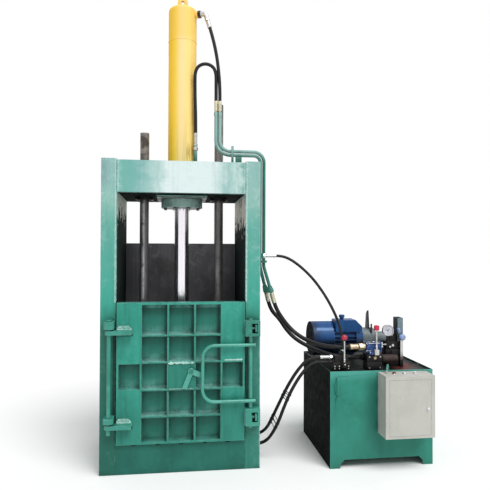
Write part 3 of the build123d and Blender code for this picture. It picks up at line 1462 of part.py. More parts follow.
# Manifold with the return filter, the gauge on top and the filter post behind
with BuildPart() as manifold_block:
    with BuildSketch(Plane.XY.offset(lid_top_z)):
        with Locations((manifold_x + manifold_w / 2, manifold_y + manifold_d / 2)):
            Rectangle(manifold_w, manifold_d)
    extrude(amount=manifold_h)
    with BuildSketch(Plane.XY.offset(lid_top_z)):
        with Locations((relief_x, (manifold_y + relief_y + relief_len) / 2)):
            Rectangle(relief_tube_w, manifold_y - relief_y - relief_len)
    extrude(amount=relief_z - lid_top_z)
    with BuildSketch(Plane.XZ.offset(-relief_y - relief_len)):
        with Locations((relief_x, relief_z)):
            Circle(relief_d * 0.4)
    extrude(amount=relief_y + relief_len - manifold_y)
    with BuildSketch(Plane.XZ.offset(-relief_y - 4)):
        with Locations((relief_x, relief_z)):
            Circle(5)
    extrude(amount=-(relief_len - 4))
    with BuildSketch(Plane.YZ.offset(filter_x)):
        with Locations((filter_y, filter_z)):
            Circle(filter_d / 2)
    extrude(amount=filter_len)
    with BuildSketch(Plane.XY.offset(lid_top_z)):
        with Locations((filter_x + filter_len / 2, filter_y)):
            Rectangle(filter_len * 0.4, filter_d * 0.6)
    extrude(amount=filter_z - lid_top_z)
    with BuildSketch(Plane.XZ.offset(-manifold_y)):
        with Locations((filter_x + filter_len - 14, filter_z)):
            Circle(12)
    extrude(amount=manifold_y - filter_y)
manifold_block.part.label = "manifold_block"
export_step(manifold_block.part, "parts/manifold_block.step")

with BuildPart() as gauge_body:
    with BuildSketch(Plane.XZ.offset(-gauge_y - gauge_t / 2)):
        with Locations((gauge_x, gauge_z)):
            Circle(gauge_d / 2)
    extrude(amount=gauge_t)
    with BuildSketch(Plane.XZ.offset(-gauge_y + gauge_t / 2 - 8)):
        with Locations((gauge_x, gauge_z)):
            Circle(gauge_d / 2 - gauge_rim)
    extrude(amount=8, mode=Mode.SUBTRACT)
    with BuildSketch(Plane.XZ.offset(-gauge_y + gauge_t / 2 - 8)):
        with Locations((gauge_x, gauge_z)):
            Circle(2)
    extrude(amount=5)
    with BuildSketch(Plane.XY.offset(lid_top_z + manifold_h)):
        with Locations((gauge_x + gauge_d * 0.16, manifold_y + 16)):
            Circle(11)
    extrude(amount=gauge_z - lid_top_z - manifold_h - 8)
    with BuildSketch(Plane.XZ.offset(-gauge_y - gauge_t / 2 - 40)):
        with Locations((gauge_x + gauge_d * 0.12, gauge_z - 8)):
            Circle(16)
    extrude(amount=40)
gauge_body.part.label = "gauge_body"
export_step(gauge_body.part, "parts/gauge_body.step")

needle_back_y = gauge_y - gauge_t / 2 + 5
with BuildPart() as gauge_needle:
    with BuildSketch(Plane.XZ.offset(-needle_back_y)):
        with Locations((gauge_x, gauge_z)):
            Circle(5)
        with Locations(
            Location(
                (
                    gauge_x + 12 * math.cos(math.radians(needle_angle)),
                    gauge_z + 12 * math.sin(math.radians(needle_angle)),
                ),
                needle_angle,
            )
        ):
            Rectangle(gauge_d * 0.55, needle_w)
        with Locations((gauge_x, gauge_z)):
            Circle(2 + run_fit, mode=Mode.SUBTRACT)
    extrude(amount=needle_t)
gauge_needle.part.label = "gauge_needle"
export_step(gauge_needle.part, "parts/gauge_needle.step")

with BuildPart() as relief_knob:
    with BuildSketch(Plane.XZ.offset(-relief_y - relief_len + 2)):
        with Locations((relief_x, relief_z)):
            Circle(relief_d / 2)
            Circle(5 + run_fit, mode=Mode.SUBTRACT)
    extrude(amount=relief_len - 8)
relief_knob.part.label = "relief_knob"
export_step(relief_knob.part, "parts/relief_knob.step")

with BuildPart() as filter_post:
    with BuildSketch(Plane.XY.offset(lid_top_z + manifold_h)):
        with Locations((post_x, post_col_y + post_col_d / 2)):
            Rectangle(post_col_w, post_col_d)
    extrude(amount=post_top_z - lid_top_z - manifold_h)
    with BuildSketch(Plane.XY.offset(lid_top_z + manifold_h + post_wall)):
        with Locations((post_x, post_col_y + post_col_d / 2)):
            Rectangle(post_col_w - 2 * post_wall, post_col_d - 2 * post_wall)
    extrude(amount=post_top_z - lid_top_z - manifold_h - post_wall, mode=Mode.SUBTRACT)
filter_post.part.label = "filter_post"
export_step(filter_post.part, "parts/filter_post.step")

# Control cabinet on the tank's front: a box with a framed front, a backplate with
# its devices, and the conduit that runs up to the tank's lid
cab_mid_x = cab_x + cab_w / 2
cab_mid_z = cab_low_z + cab_h / 2
door_open_w = cab_w - 2 * cab_frame_w
door_open_h = cab_h - cab_frame_w - cab_frame_low
door_open_z = cab_low_z + cab_frame_low + door_open_h / 2
cab_door_w = door_open_w - 2 * cab_door_gap
cab_door_h = door_open_h - 2 * cab_door_gap
cab_pin_x = cab_mid_x - cab_door_w / 2 + cab_pin_d
with BuildPart() as cabinet_box:
    with BuildSketch(Plane.XZ.offset(-tank_y)):
        with Locations((cab_mid_x, cab_mid_z)):
            Rectangle(cab_w, cab_h)
    extrude(amount=cab_d)
    with BuildSketch(Plane.XZ.offset(-tank_y + cab_wall)):
        with Locations((cab_mid_x, cab_mid_z)):
            Rectangle(cab_w - 2 * cab_wall, cab_h - 2 * cab_wall)
    extrude(amount=cab_d - 2 * cab_wall, mode=Mode.SUBTRACT)
    with BuildSketch(Plane.XZ.offset(-cab_y - cab_wall)):
        with Locations((cab_mid_x, door_open_z)):
            Rectangle(door_open_w, door_open_h)
    extrude(amount=cab_wall, mode=Mode.SUBTRACT)
    with BuildSketch(Plane.XY.offset(cab_top_z - cab_wall)):
        with Locations(*[(x, cab_y + cab_d / 2) for x in (stop_x, start_x, reset_x)]):
            Circle(button_d / 2 - 4)
    extrude(amount=cab_wall, mode=Mode.SUBTRACT)
    with BuildSketch(Plane.XZ.offset(-tank_y + cab_wall)):
        with Locations(*[
            (cab_mid_x + cab_device_dx * i, cab_mid_z + cab_device_dz * j)
            for i in (-1, 0, 1) for j in (-1, 1)
        ]):
            Rectangle(cab_device_dx * 0.66, cab_device_dz * 1.4)
    extrude(amount=cab_device_d)
    with BuildSketch(Plane.XY.offset(door_open_z - door_open_h / 2 - cab_pin_len)):
        with Locations((cab_pin_x, cab_y + cab_door_t / 2)):
            Circle(cab_pin_d / 2 + run_fit)
    extrude(amount=door_open_h + 2 * cab_pin_len, mode=Mode.SUBTRACT)
cabinet_box.part.label = "cabinet_box"
export_step(cabinet_box.part, "parts/cabinet_box.step")

with BuildPart() as cabinet_door:
    with BuildSketch(Plane.XZ.offset(-cab_y - cab_door_t)):
        with Locations((cab_mid_x, door_open_z)):
            Rectangle(cab_door_w, cab_door_h)
        with Locations((cab_lock_x, cab_lock_z)):
            Circle(cab_lock_d / 2 - 3 + run_fit, mode=Mode.SUBTRACT)
    extrude(amount=cab_door_t)
    with BuildSketch(Plane.XY.offset(door_open_z - door_open_h / 2 - cab_pin_len + 1)):
        with Locations((cab_pin_x, cab_y + cab_door_t / 2)):
            Circle(cab_pin_d / 2)
    extrude(amount=door_open_h + 2 * cab_pin_len - 2)
cabinet_door.part.label = "cabinet_door"
export_step(cabinet_door.part, "parts/cabinet_door.step")

with BuildPart() as cabinet_lock:
    with BuildSketch(Plane.XZ.offset(-cab_y)):
        with Locations((cab_lock_x, cab_lock_z)):
            Circle(cab_lock_d / 2)
    extrude(amount=8)
    with BuildSketch(Plane.XZ.offset(-cab_y + 8)):
        with Locations((cab_lock_x, cab_lock_z)):
            Rectangle(cab_lock_d * 0.3, cab_lock_d * 0.9)
    extrude(amount=6)
    with BuildSketch(Plane.XZ.offset(-cab_y)):
        with Locations((cab_lock_x, cab_lock_z)):
            Circle(cab_lock_d / 2 - 3)
    extrude(amount=-12)
cabinet_lock.part.label = "cabinet_lock"
export_step(cabinet_lock.part, "parts/cabinet_lock.step")

button_parts = {"stop_button": stop_x, "start_button": start_x, "reset_button": reset_x}
for button_name, x in button_parts.items():
    with BuildPart() as button:
        with BuildSketch(Plane.XY.offset(cab_top_z + button_travel + 0.5)):
            with Locations((x, cab_y + cab_d / 2)):
                Circle(button_d / 2)
        extrude(amount=button_h)
        with BuildSketch(Plane.XY.offset(cab_top_z - cab_wall - 6)):
            with Locations((x, cab_y + cab_d / 2)):
                Circle(button_d / 2 - 4 - button_hole_gap)
        extrude(amount=cab_wall + 6 + button_travel + 0.5)
    button.part.label = button_name
    export_step(button.part, "parts/" + button_name + ".step")

# Conduit from the cabinet's top over the tank's rim and down onto the lid
with BuildPart() as cabinet_conduit:
    with BuildLine() as conduit_path:
        FilletPolyline(
            (conduit_x, cab_y + conduit_in, cab_top_z),
            (conduit_x, cab_y + conduit_in, cab_top_z + conduit_rise),
            (conduit_x + conduit_shift, tank_y + conduit_out, cab_top_z + conduit_rise),
            (conduit_x + conduit_shift, tank_y + conduit_out, lid_top_z),
            radius=conduit_bend_r,
        )
    with BuildSketch(Plane.XY.offset(cab_top_z)):
        with Locations((conduit_x, cab_y + conduit_in)):
            Circle(conduit_d / 2)
    sweep(path=conduit_path.line)
cabinet_conduit.part.label = "cabinet_conduit"
export_step(cabinet_conduit.part, "parts/cabinet_conduit.step")
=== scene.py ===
"""The looks of a vertical hydraulic baler with its power pack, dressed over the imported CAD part.

Every length is in metres, in the part's own frame: X right, Y back and Z up, with the origin
on the floor under the press cylinder.
"""

import math
import random

import bmesh
import bpy
from mathutils import Matrix, Vector


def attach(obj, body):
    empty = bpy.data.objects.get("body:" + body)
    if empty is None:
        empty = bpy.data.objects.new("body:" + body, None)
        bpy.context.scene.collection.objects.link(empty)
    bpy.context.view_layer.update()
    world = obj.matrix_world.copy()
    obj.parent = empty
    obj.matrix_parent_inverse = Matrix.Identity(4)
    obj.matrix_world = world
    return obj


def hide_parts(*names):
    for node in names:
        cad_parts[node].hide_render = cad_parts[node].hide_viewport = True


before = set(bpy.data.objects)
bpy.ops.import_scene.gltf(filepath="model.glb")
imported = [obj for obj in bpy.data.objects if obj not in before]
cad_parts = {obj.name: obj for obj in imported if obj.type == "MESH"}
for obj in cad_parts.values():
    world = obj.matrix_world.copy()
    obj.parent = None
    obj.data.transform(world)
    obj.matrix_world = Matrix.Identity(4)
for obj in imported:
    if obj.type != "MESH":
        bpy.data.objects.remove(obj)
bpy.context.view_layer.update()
scene = bpy.context.scene

# Driving sizes, as the part has them
FRAME_HALF = 0.612
OPEN_X = 0.495
FRONT_Y = -0.400
BEAM_LOW, BEAM_TOP = 2.143, 2.390
WALL_REAR = 0.372
DOOR_Y = -0.430
DOOR_HALF = 0.487
DOOR_LOW, DOOR_TOP = 0.232, 1.300
DOOR_ROWS = (0.436, 0.638, 0.845, 1.049)
RIB_X = (-0.306, -0.102, 0.102, 0.306)
DOOR_PITCH = 0.2043
DOOR_FACE = -0.4305
HINGE_ROWS = (0.372, 1.069)
BARREL_R, BARREL_TOP, CAP_TOP = 0.118, 3.462, 3.750
PLATE_HALF = 0.203
TANK_X, TANK_Y, TANK_TOP, LID_Z = (1.152, 1.998), (-0.484, 0.378), 0.755, 0.742
MOTOR_Y, MOTOR_Z = 0.150, 0.915
GAUGE_X, GAUGE_Z = 1.690, 1.047
RELIEF_X, RELIEF_Z = 1.812, 0.988
LEFT_PIVOT, RIGHT_PIVOT = Vector((1.283, -0.436, 0.800)), Vector((1.541, -0.456, 0.900))
BALL_R = 0.023
TIE_R = 0.0148
SAME_PLACE = 0.000001
RISER_X, RISER_Y = 0.110, -0.100

# Directions
UP, BACK, FRONT, RIGHT, LEFT = (0, 0, 1), (0, 1, 0), (0, -1, 0), (1, 0, 0), (-1, 0, 0)

# Camera

EYE = Vector((-0.0346, -4.4455, 1.6859))
YAW, PITCH, ROLL = 0.128757, 0.013910, 0.003426
LENS, SENSOR = 38.290, 36.0


def make_camera():
    """The camera at the place from which the photograph was taken."""
    ahead = Vector((math.sin(YAW) * math.cos(PITCH), math.cos(YAW) * math.cos(PITCH), math.sin(PITCH)))
    level = Vector((math.cos(YAW), -math.sin(YAW), 0))
    over = level.cross(ahead)
    right = level * math.cos(ROLL) + over * math.sin(ROLL)
    up = over * math.cos(ROLL) - level * math.sin(ROLL)
    data = bpy.data.cameras.new("camera")
    data.lens, data.sensor_width = LENS, SENSOR
    camera = bpy.data.objects.new("camera", data)
    scene.collection.objects.link(camera)
    turn = Matrix((right, up, -ahead)).transposed().to_4x4()
    camera.matrix_world = Matrix.Translation(EYE) @ turn
    scene.camera = camera


make_camera()

# Hose routes

# Each hose has its diameter and its own control points, from one fitting to the other
HOSES = {
    "hose_cap_side": (0.028, [
        (0.225, -0.100, 3.565), (0.249, -0.111, 3.482), (0.282, -0.118, 3.330),
        (0.301, -0.122, 3.175), (0.310, -0.120, 3.044), (0.310, -0.120, 2.944),
    ]),
    "hose_rod_side": (0.028, [
        (0.110, -0.100, 2.675), (0.110, -0.100, 2.790), (0.105, -0.106, 2.935),
        (0.102, -0.112, 3.075), (0.103, -0.118, 3.200), (0.154, -0.122, 3.251),
        (0.226, -0.124, 3.251), (0.277, -0.124, 3.200), (0.278, -0.120, 3.062),
        (0.278, -0.120, 2.944),
    ]),
    "hose_supply_front": (0.034, [
        (0.776, -0.120, 1.262), (0.794, -0.120, 1.204), (0.865, -0.125, 1.100),
        (0.925, -0.152, 1.030), (0.994, -0.205, 0.978), (1.076, -0.280, 0.942),
        (1.162, -0.350, 0.929), (1.248, -0.400, 0.930), (1.340, -0.400, 0.930),
    ]),
    "hose_supply_rear": (0.034, [
        (0.742, -0.021, 1.268), (0.765, 0.005, 1.191), (0.842, -0.008, 1.113),
        (0.900, -0.022, 1.019), (0.974, -0.058, 0.942), (1.068, -0.118, 0.890),
        (1.154, -0.196, 0.858), (1.225, -0.270, 0.841), (1.297, -0.332, 0.834),
        (1.397, -0.332, 0.834),
    ]),
    "hose_pilot": (0.023, [
        (0.776, -0.200, 1.657), (0.838, -0.200, 1.657), (0.938, -0.212, 1.603),
        (1.057, -0.236, 1.495), (1.140, -0.266, 1.383), (1.209, -0.300, 1.261),
        (1.260, -0.334, 1.138), (1.289, -0.365, 1.016), (1.289, -0.365, 0.944),
    ]),
    "hose_ejector_rear": (0.026, [
        (1.099, -0.386, 0.850), (1.007, -0.386, 0.850), (0.914, -0.376, 0.748),
        (0.842, -0.346, 0.618), (0.786, -0.284, 0.466), (0.748, -0.186, 0.320),
        (0.716, -0.070, 0.186), (0.647, 0.020, 0.115), (0.557, 0.020, 0.115),
    ]),
    "hose_ejector_front": (0.026, [
        (1.099, -0.378, 0.810), (1.037, -0.378, 0.810), (0.946, -0.386, 0.724),
        (0.868, -0.376, 0.595), (0.817, -0.345, 0.460), (0.778, -0.298, 0.316),
        (0.714, -0.238, 0.166), (0.641, -0.200, 0.115), (0.557, -0.200, 0.115),
    ]),
}


def make_hose(name, diameter, points, material):
    """A rubber hose on one smooth line, which takes the place of its CAD solid."""
    data = bpy.data.curves.new(name + "_line", "CURVE")
    data.dimensions = "3D"
    data.resolution_u = 12
    data.bevel_depth = diameter / 2
    data.bevel_resolution = 5
    spline = data.splines.new("NURBS")
    spline.points.add(len(points) - 1)
    for place, point in zip(spline.points, points):
        place.co = (*point, 1)
    spline.order_u = 3
    spline.use_endpoint_u = True
    hose = bpy.data.objects.new(name + "_rubber", data)
    scene.collection.objects.link(hose)
    data.materials.append(material)
    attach(hose, "machine")
    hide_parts(name)
    return hose


# Shader building


class Graph:
    """Short calls for the shader nodes that the finishes are made of."""

    def __init__(self, tree):
        self.tree = tree

    def put(self, socket, value):
        if isinstance(value, bpy.types.NodeSocket):
            self.tree.links.new(value, socket)
        else:
            socket.default_value = value

    def node(self, kind, inputs=(), **settings):
        made = self.tree.nodes.new("ShaderNode" + kind)
        for name, value in settings.items():
            setattr(made, name, value)
        for name, value in dict(inputs).items():
            self.put(made.inputs[name], value)
        return made

    def group(self, tree, inputs):
        made = self.tree.nodes.new("ShaderNodeGroup")
        made.node_tree = tree
        for name, value in inputs.items():
            self.put(made.inputs[name], value)
        return made.outputs

    def mix(self, factor, a, b, blend="MIX"):
        made = self.node("Mix", data_type="RGBA", blend_type=blend)
        for index, value in ((0, factor), (6, a), (7, b)):
            self.put(made.inputs[index], value)
        return made.outputs[2]

    def math(self, how, a, b=0.0, clamp=False):
        return self.node("Math", {0: a, 1: b}, operation=how, use_clamp=clamp).outputs[0]

    def times(self, first, *others):
        for other in others:
            first = self.math("MULTIPLY", first, other)
        return first

    def plus(self, a, b):
        return self.math("ADD", a, b)

    def minus(self, a, b):
        return self.math("SUBTRACT", a, b)

    def abs(self, value):
        return self.math("ABSOLUTE", value)

    def above(self, value, limit):
        return self.math("GREATER_THAN", value, limit)

    def below(self, value, limit):
        return self.math("LESS_THAN", value, limit)

    def either(self, a, b):
        return self.math("MAXIMUM", a, b)

    def coat(self, under, shade, *shares):
        """Lays a shade, as tint takes it, over a colour, by the product of the shares."""
        return self.mix(self.times(*shares), under, tint(*shade))

    def step(self, value, low, high, to_low=0.0, to_high=1.0):
        inputs = {0: value, 1: low, 2: high, 3: to_low, 4: to_high}
        return self.node("MapRange", inputs, interpolation_type="SMOOTHSTEP").outputs[0]

    def noise(self, where, scale, detail=3.0, rough=0.55, bend=0.0):
        inputs = {"Vector": where, "Scale": scale, "Detail": detail, "Roughness": rough, "Distortion": bend}
        return self.node("TexNoise", inputs).outputs[0]

    def scaled(self, where, x, y, z):
        return self.node("Mapping", {"Vector": where, "Scale": (x, y, z)}).outputs[0]

    def ramp(self, value, stops):
        made = self.node("ValToRGB", {0: value})
        line = made.color_ramp.elements
        line[0].position, line[0].color = stops[0]
        line[1].position, line[1].color = stops[-1]
        for place, colour in stops[1:-1]:
            line.new(place).color = colour
        return made.outputs[0]


def tint(red, green, blue):
    """A colour written as it looks on a screen, 0 to 255, as linear light."""
    linear = [c / 3294.6 if c < 10.4 else ((c / 255 + 0.055) / 1.055) ** 2.4 for c in (red, green, blue)]
    return (*linear, 1.0)


def make_group(name, inputs, outputs, fill):
    """A shader node group that several finishes share."""
    tree = bpy.data.node_groups.new(name, "ShaderNodeTree")
    for label, kind, value in inputs:
        socket = tree.interface.new_socket(name=label, in_out="INPUT", socket_type="NodeSocket" + kind)
        if value is not None:
            socket.default_value = value
    for label in outputs:
        tree.interface.new_socket(name=label, in_out="OUTPUT", socket_type="NodeSocketFloat")
    g = Graph(tree)
    start, end = tree.nodes.new("NodeGroupInput"), tree.nodes.new("NodeGroupOutput")
    for label, value in fill(g, start.outputs).items():
        g.put(end.inputs[label], value)
    return tree


def weather_nodes(g, given):
    """Clouds, blotches, grain, runs of grime down a wall, and small specks."""
    where = given["Vector"]
    runs = g.noise(g.scaled(where, 1.0, 1.0, 0.07), 26.0, 4.0, 0.6)
    return {
        "Cloud": g.noise(where, 2.6, 4.0, 0.6, 0.4),
        "Blotch": g.noise(where, 13.0, 5.0, 0.62, 0.6),
        "Grain": g.noise(where, 170.0, 3.0, 0.6),
        "Runs": g.step(runs, 0.46, 0.72),
        "Specks": g.step(g.noise(where, 95.0, 2.0, 0.7), 0.66, 0.74),
    }


def wear_and_light_nodes(g, given):
    """Rubbed edges, found from how a rounded normal leaves the flat one, that also stand in for painted edge
    highlights, and grime darkened by painted shade in corners.
    """
    where = given["Vector"]
    rounded = g.node("Bevel", {"Radius": given["Size"]}, samples=4).outputs[0]
    flat = g.node("NewGeometry").outputs["Normal"]
    same = g.node("VectorMath", {0: rounded, 1: flat}, operation="DOT_PRODUCT").outputs["Value"]
    edge = g.step(same, 0.995, 0.90)
    broken = g.step(g.noise(where, 34.0, 4.0, 0.65), 0.40, 0.62)
    # ambient occlusion: darkens hollows as grime and as painted shade
    hollow = g.node("AmbientOcclusion", {"Distance": given["Reach"]}, samples=6).outputs["AO"]
    uneven = g.step(g.noise(where, 9.0, 3.0, 0.6), 0.25, 0.7)
    return {
        "Edge": g.times(edge, broken),
        "HollowDirtShade": g.times(g.step(hollow, 0.86, 0.30), uneven),
    }


WEATHER = make_group(
    "weather", [("Vector", "Vector", None)], ("Cloud", "Blotch", "Grain", "Runs", "Specks"), weather_nodes
)
WEAR_AND_LIGHT = make_group(
    "wear_and_light",
    [("Vector", "Vector", None), ("Size", "Float", 0.006), ("Reach", "Float", 0.09)],
    ("Edge", "HollowDirtShade"),
    wear_and_light_nodes,
)


class Finish:
    """A material under way: its graph, its place coordinates and the shared masks."""

    def __init__(self, name, edge=0.006, reach=0.09):
        self.mat = bpy.data.materials.new(name)
        self.mat.use_nodes = True
        tree = self.mat.node_tree
        self.g = Graph(tree)
        self.shader = tree.nodes["Principled BSDF"]
        self.where = self.g.node("TexCoord").outputs["Object"]
        split = self.g.node("SeparateXYZ", {0: self.where}).outputs
        self.x, self.y, self.z = split[0], split[1], split[2]
        self.weather = self.g.group(WEATHER, {"Vector": self.where})
        self.wear_and_light = self.g.group(WEAR_AND_LIGHT, {"Vector": self.where, "Size": edge, "Reach": reach})

    def within(self, value, low, high, soft):
        """1 between low and high, fading over soft at each end."""
        g = self.g
        return g.times(g.step(value, low - soft, low + soft), g.step(value, high + soft, high - soft))

    def done(self, colour, rough, bump=0.15, metal=0.0, depth=0.0006, **fixed):
        """Joins the colour, roughness and fine relief, and sets the constant values."""
        g = self.g
        g.put(self.shader.inputs["Base Color"], colour)
        g.put(self.shader.inputs["Roughness"], rough)
        self.shader.inputs["Metallic"].default_value = metal
        height = g.plus(self.weather["Grain"], g.times(self.weather["Blotch"], 2.0))
        relief = g.node("Bump", {"Strength": bump, "Distance": depth, "Height": height})
        g.put(self.shader.inputs["Normal"], relief.outputs[0])
        for name, value in fixed.items():
            self.shader.inputs[name.replace("_", " ")].default_value = value
        return self.mat


def paint(
    name, base, dark, pale, dirt_and_shade, worn_and_glint, rough=0.42, places=None, edge=0.006, reach=0.09, runs=0.25,
    **fixed,
):
    """Brushed-on machine paint: clouded, a little chalky, grimy and darkened by painted shade in corners,
    and rubbed pale at edges that also serve as painted highlights.
    """
    f = Finish(name, edge, reach)
    g, w = f.g, f.weather
    colour = g.mix(g.step(w["Cloud"], 0.34, 0.66), tint(*dark), tint(*base))
    colour = g.mix(g.step(w["Blotch"], 0.50, 0.80, 0.0, 0.55), colour, tint(*pale))
    if places:
        colour = places(f, colour)
    colour = g.mix(g.times(w["Runs"], runs), colour, tint(*dirt_and_shade))
    # corners take grime and painted shade together
    colour = g.mix(g.times(f.wear_and_light["HollowDirtShade"], 0.75), colour, tint(*dirt_and_shade))
    colour = g.mix(g.times(w["Specks"], 0.35), colour, tint(*dirt_and_shade))
    # rubbed pale edges, which also stand in for painted edge highlights
    colour = g.mix(g.times(f.wear_and_light["Edge"], 0.8), colour, tint(*worn_and_glint))
    roughness = g.step(w["Blotch"], 0.3, 0.75, rough - 0.08, rough + 0.22)
    fixed.setdefault("Specular_IOR_Level", 0.2)
    return f.done(colour, roughness, **fixed)


def metal(
    name, base, dark, rough=0.35, places=None, stretch=(1, 1, 1), metallic=1.0, edge=0.003, worn_and_glint=None,
    dirty=0.5, **fixed,
):
    """Bare or plated metal with stains, fine scratches, and grime darkened by painted shade in its corners.
    """
    f = Finish(name, edge, 0.03)
    g, w = f.g, f.weather
    lines = g.noise(g.scaled(f.where, *stretch), 320.0, 3.0, 0.6)
    colour = g.mix(g.step(lines, 0.3, 0.7, 0.0, 0.35), tint(*base), tint(*dark))
    colour = g.mix(g.step(w["Blotch"], 0.48, 0.76, 0.0, dirty), colour, tint(*dark))
    if places:
        colour = places(f, colour)
    # corners darkened by grime and painted shade together
    colour = g.mix(g.times(f.wear_and_light["HollowDirtShade"], 0.7), colour, tint(*dark))
    # rubbed edges, which also stand in for painted edge highlights
    if worn_and_glint:
        colour = g.mix(g.times(f.wear_and_light["Edge"], 0.8), colour, tint(*worn_and_glint))
    return f.done(colour, g.step(lines, 0.25, 0.75, rough - 0.06, rough + 0.14), metal=metallic, **fixed)


# Finishes


def frame_places(f, colour):
    """The frame's green grows paler upwards, its beam is paler across its middle, its inner edges are
    chipped, and painted shadow darkens the gaps beside the door.
    """
    g, w = f.g, f.weather
    height_tone = g.ramp(g.step(f.z, 0.0, 2.4), [
        (0.00, tint(34, 92, 79)), (0.10, tint(40, 98, 85)), (0.44, tint(50, 110, 96)),
        (0.49, tint(52, 140, 123)), (0.57, tint(66, 164, 146)), (0.75, tint(86, 167, 152)),
        (0.88, tint(104, 172, 160)), (0.955, tint(140, 186, 177)), (1.00, tint(142, 184, 180)),
    ])
    colour = g.mix(0.85, colour, height_tone)
    lit = g.times(g.step(f.x, 0.0, 0.1), g.step(f.z, 1.30, 1.00))
    colour = g.coat(colour, (60, 140, 124), lit, 0.5)
    pale = g.times(g.step(f.z, 1.2, 2.3, 0.15, 0.8), g.step(w["Blotch"], 0.50, 0.72))
    colour = g.coat(colour, (186, 212, 204), pale, 0.5)
    soot = g.times(g.step(f.x, -0.50, -0.60), g.step(f.z, 2.12, 2.32))
    colour = g.coat(colour, (104, 132, 138), soot, g.step(w["Cloud"], 0.42, 0.62, 0.0, 0.7))
    speckle = g.times(g.step(f.z, 1.95, 2.15), g.step(w["Grain"], 0.52, 0.66))
    colour = g.coat(colour, (216, 230, 227), speckle, 0.55)
    front = g.below(f.y, FRONT_Y + 0.002)
    rim = g.times(front, g.step(g.plus(f.x, g.step(w["Blotch"], 0.2, 0.8, -0.004, 0.004)), 0.602, 0.609))
    colour = g.coat(colour, (150, 184, 176), rim, 0.75)
    # painted shadow in the gaps beside the door's edges, by the hinge rods and the lock
    gap_shadow = g.times(f.within(g.abs(f.x), 0.490, 0.517, 0.004), f.within(f.z, 0.34, 1.16, 0.02))
    colour = g.coat(colour, (12, 44, 38), gap_shadow, front, 0.75)
    # the beam between the side frames
    ragged = g.plus(f.x, g.step(w["Blotch"], 0.2, 0.8, -0.045, 0.045))
    beam_tone = g.ramp(g.plus(ragged, 0.5), [
        (0.00, tint(140, 188, 182)), (0.05, tint(112, 174, 164)), (0.13, tint(116, 174, 166)),
        (0.20, tint(142, 186, 182)), (0.31, tint(176, 206, 202)), (0.38, tint(214, 230, 229)),
        (0.74, tint(214, 230, 229)), (0.86, tint(156, 194, 190)), (0.93, tint(188, 214, 210)),
        (1.00, tint(116, 168, 160)),
    ])
    streak = g.noise(g.scaled(f.where, 0.35, 1.0, 1.0), 46.0, 3.0, 0.6)
    beam_tone = g.coat(beam_tone, (150, 192, 186), g.step(streak, 0.50, 0.74, 0.0, 0.16))
    middle = g.times(g.above(f.z, BEAM_LOW - 0.002), g.below(g.abs(f.x), OPEN_X - 0.0005))
    colour = g.mix(g.times(middle, front), colour, beam_tone)
    seam = g.abs(g.minus(g.abs(f.x), OPEN_X))
    seam = g.step(g.plus(seam, g.step(w["Grain"], 0.3, 0.7, 0.0, 0.014)), 0.021, 0.012)
    seam = g.times(seam, front, g.above(f.z, DOOR_TOP))
    return g.coat(colour, (216, 232, 227), seam, 0.8)


def chute_places(f, colour):
    """Bare walls above the chamber's grime line, cream on the right one, and near-black painted shade under
    the beam.
    """
    g, w = f.g, f.weather
    waving = g.plus(f.z, g.step(w["Blotch"], 0.2, 0.8, -0.16, 0.16))
    waving = g.plus(waving, g.times(f.x, 0.07))
    bare = g.coat(tint(222, 229, 218), (255, 253, 242), g.above(f.x, 0.0))
    bare = g.coat(bare, (104, 106, 98), w["Runs"], 0.3)
    bare = g.coat(bare, (104, 110, 102), g.step(w["Cloud"], 0.54, 0.64, 0.0, 0.6))
    grime = g.coat(tint(30, 42, 41), (56, 66, 64), w["Blotch"])
    wall = g.mix(g.step(waving, 1.93, 1.97), grime, bare)
    # painted shade: the beam's underside near-black
    under = g.below(g.abs(f.x), OPEN_X - 0.001)
    return g.mix(under, wall, g.coat(tint(12, 16, 14), (34, 42, 38), w["Blotch"]))


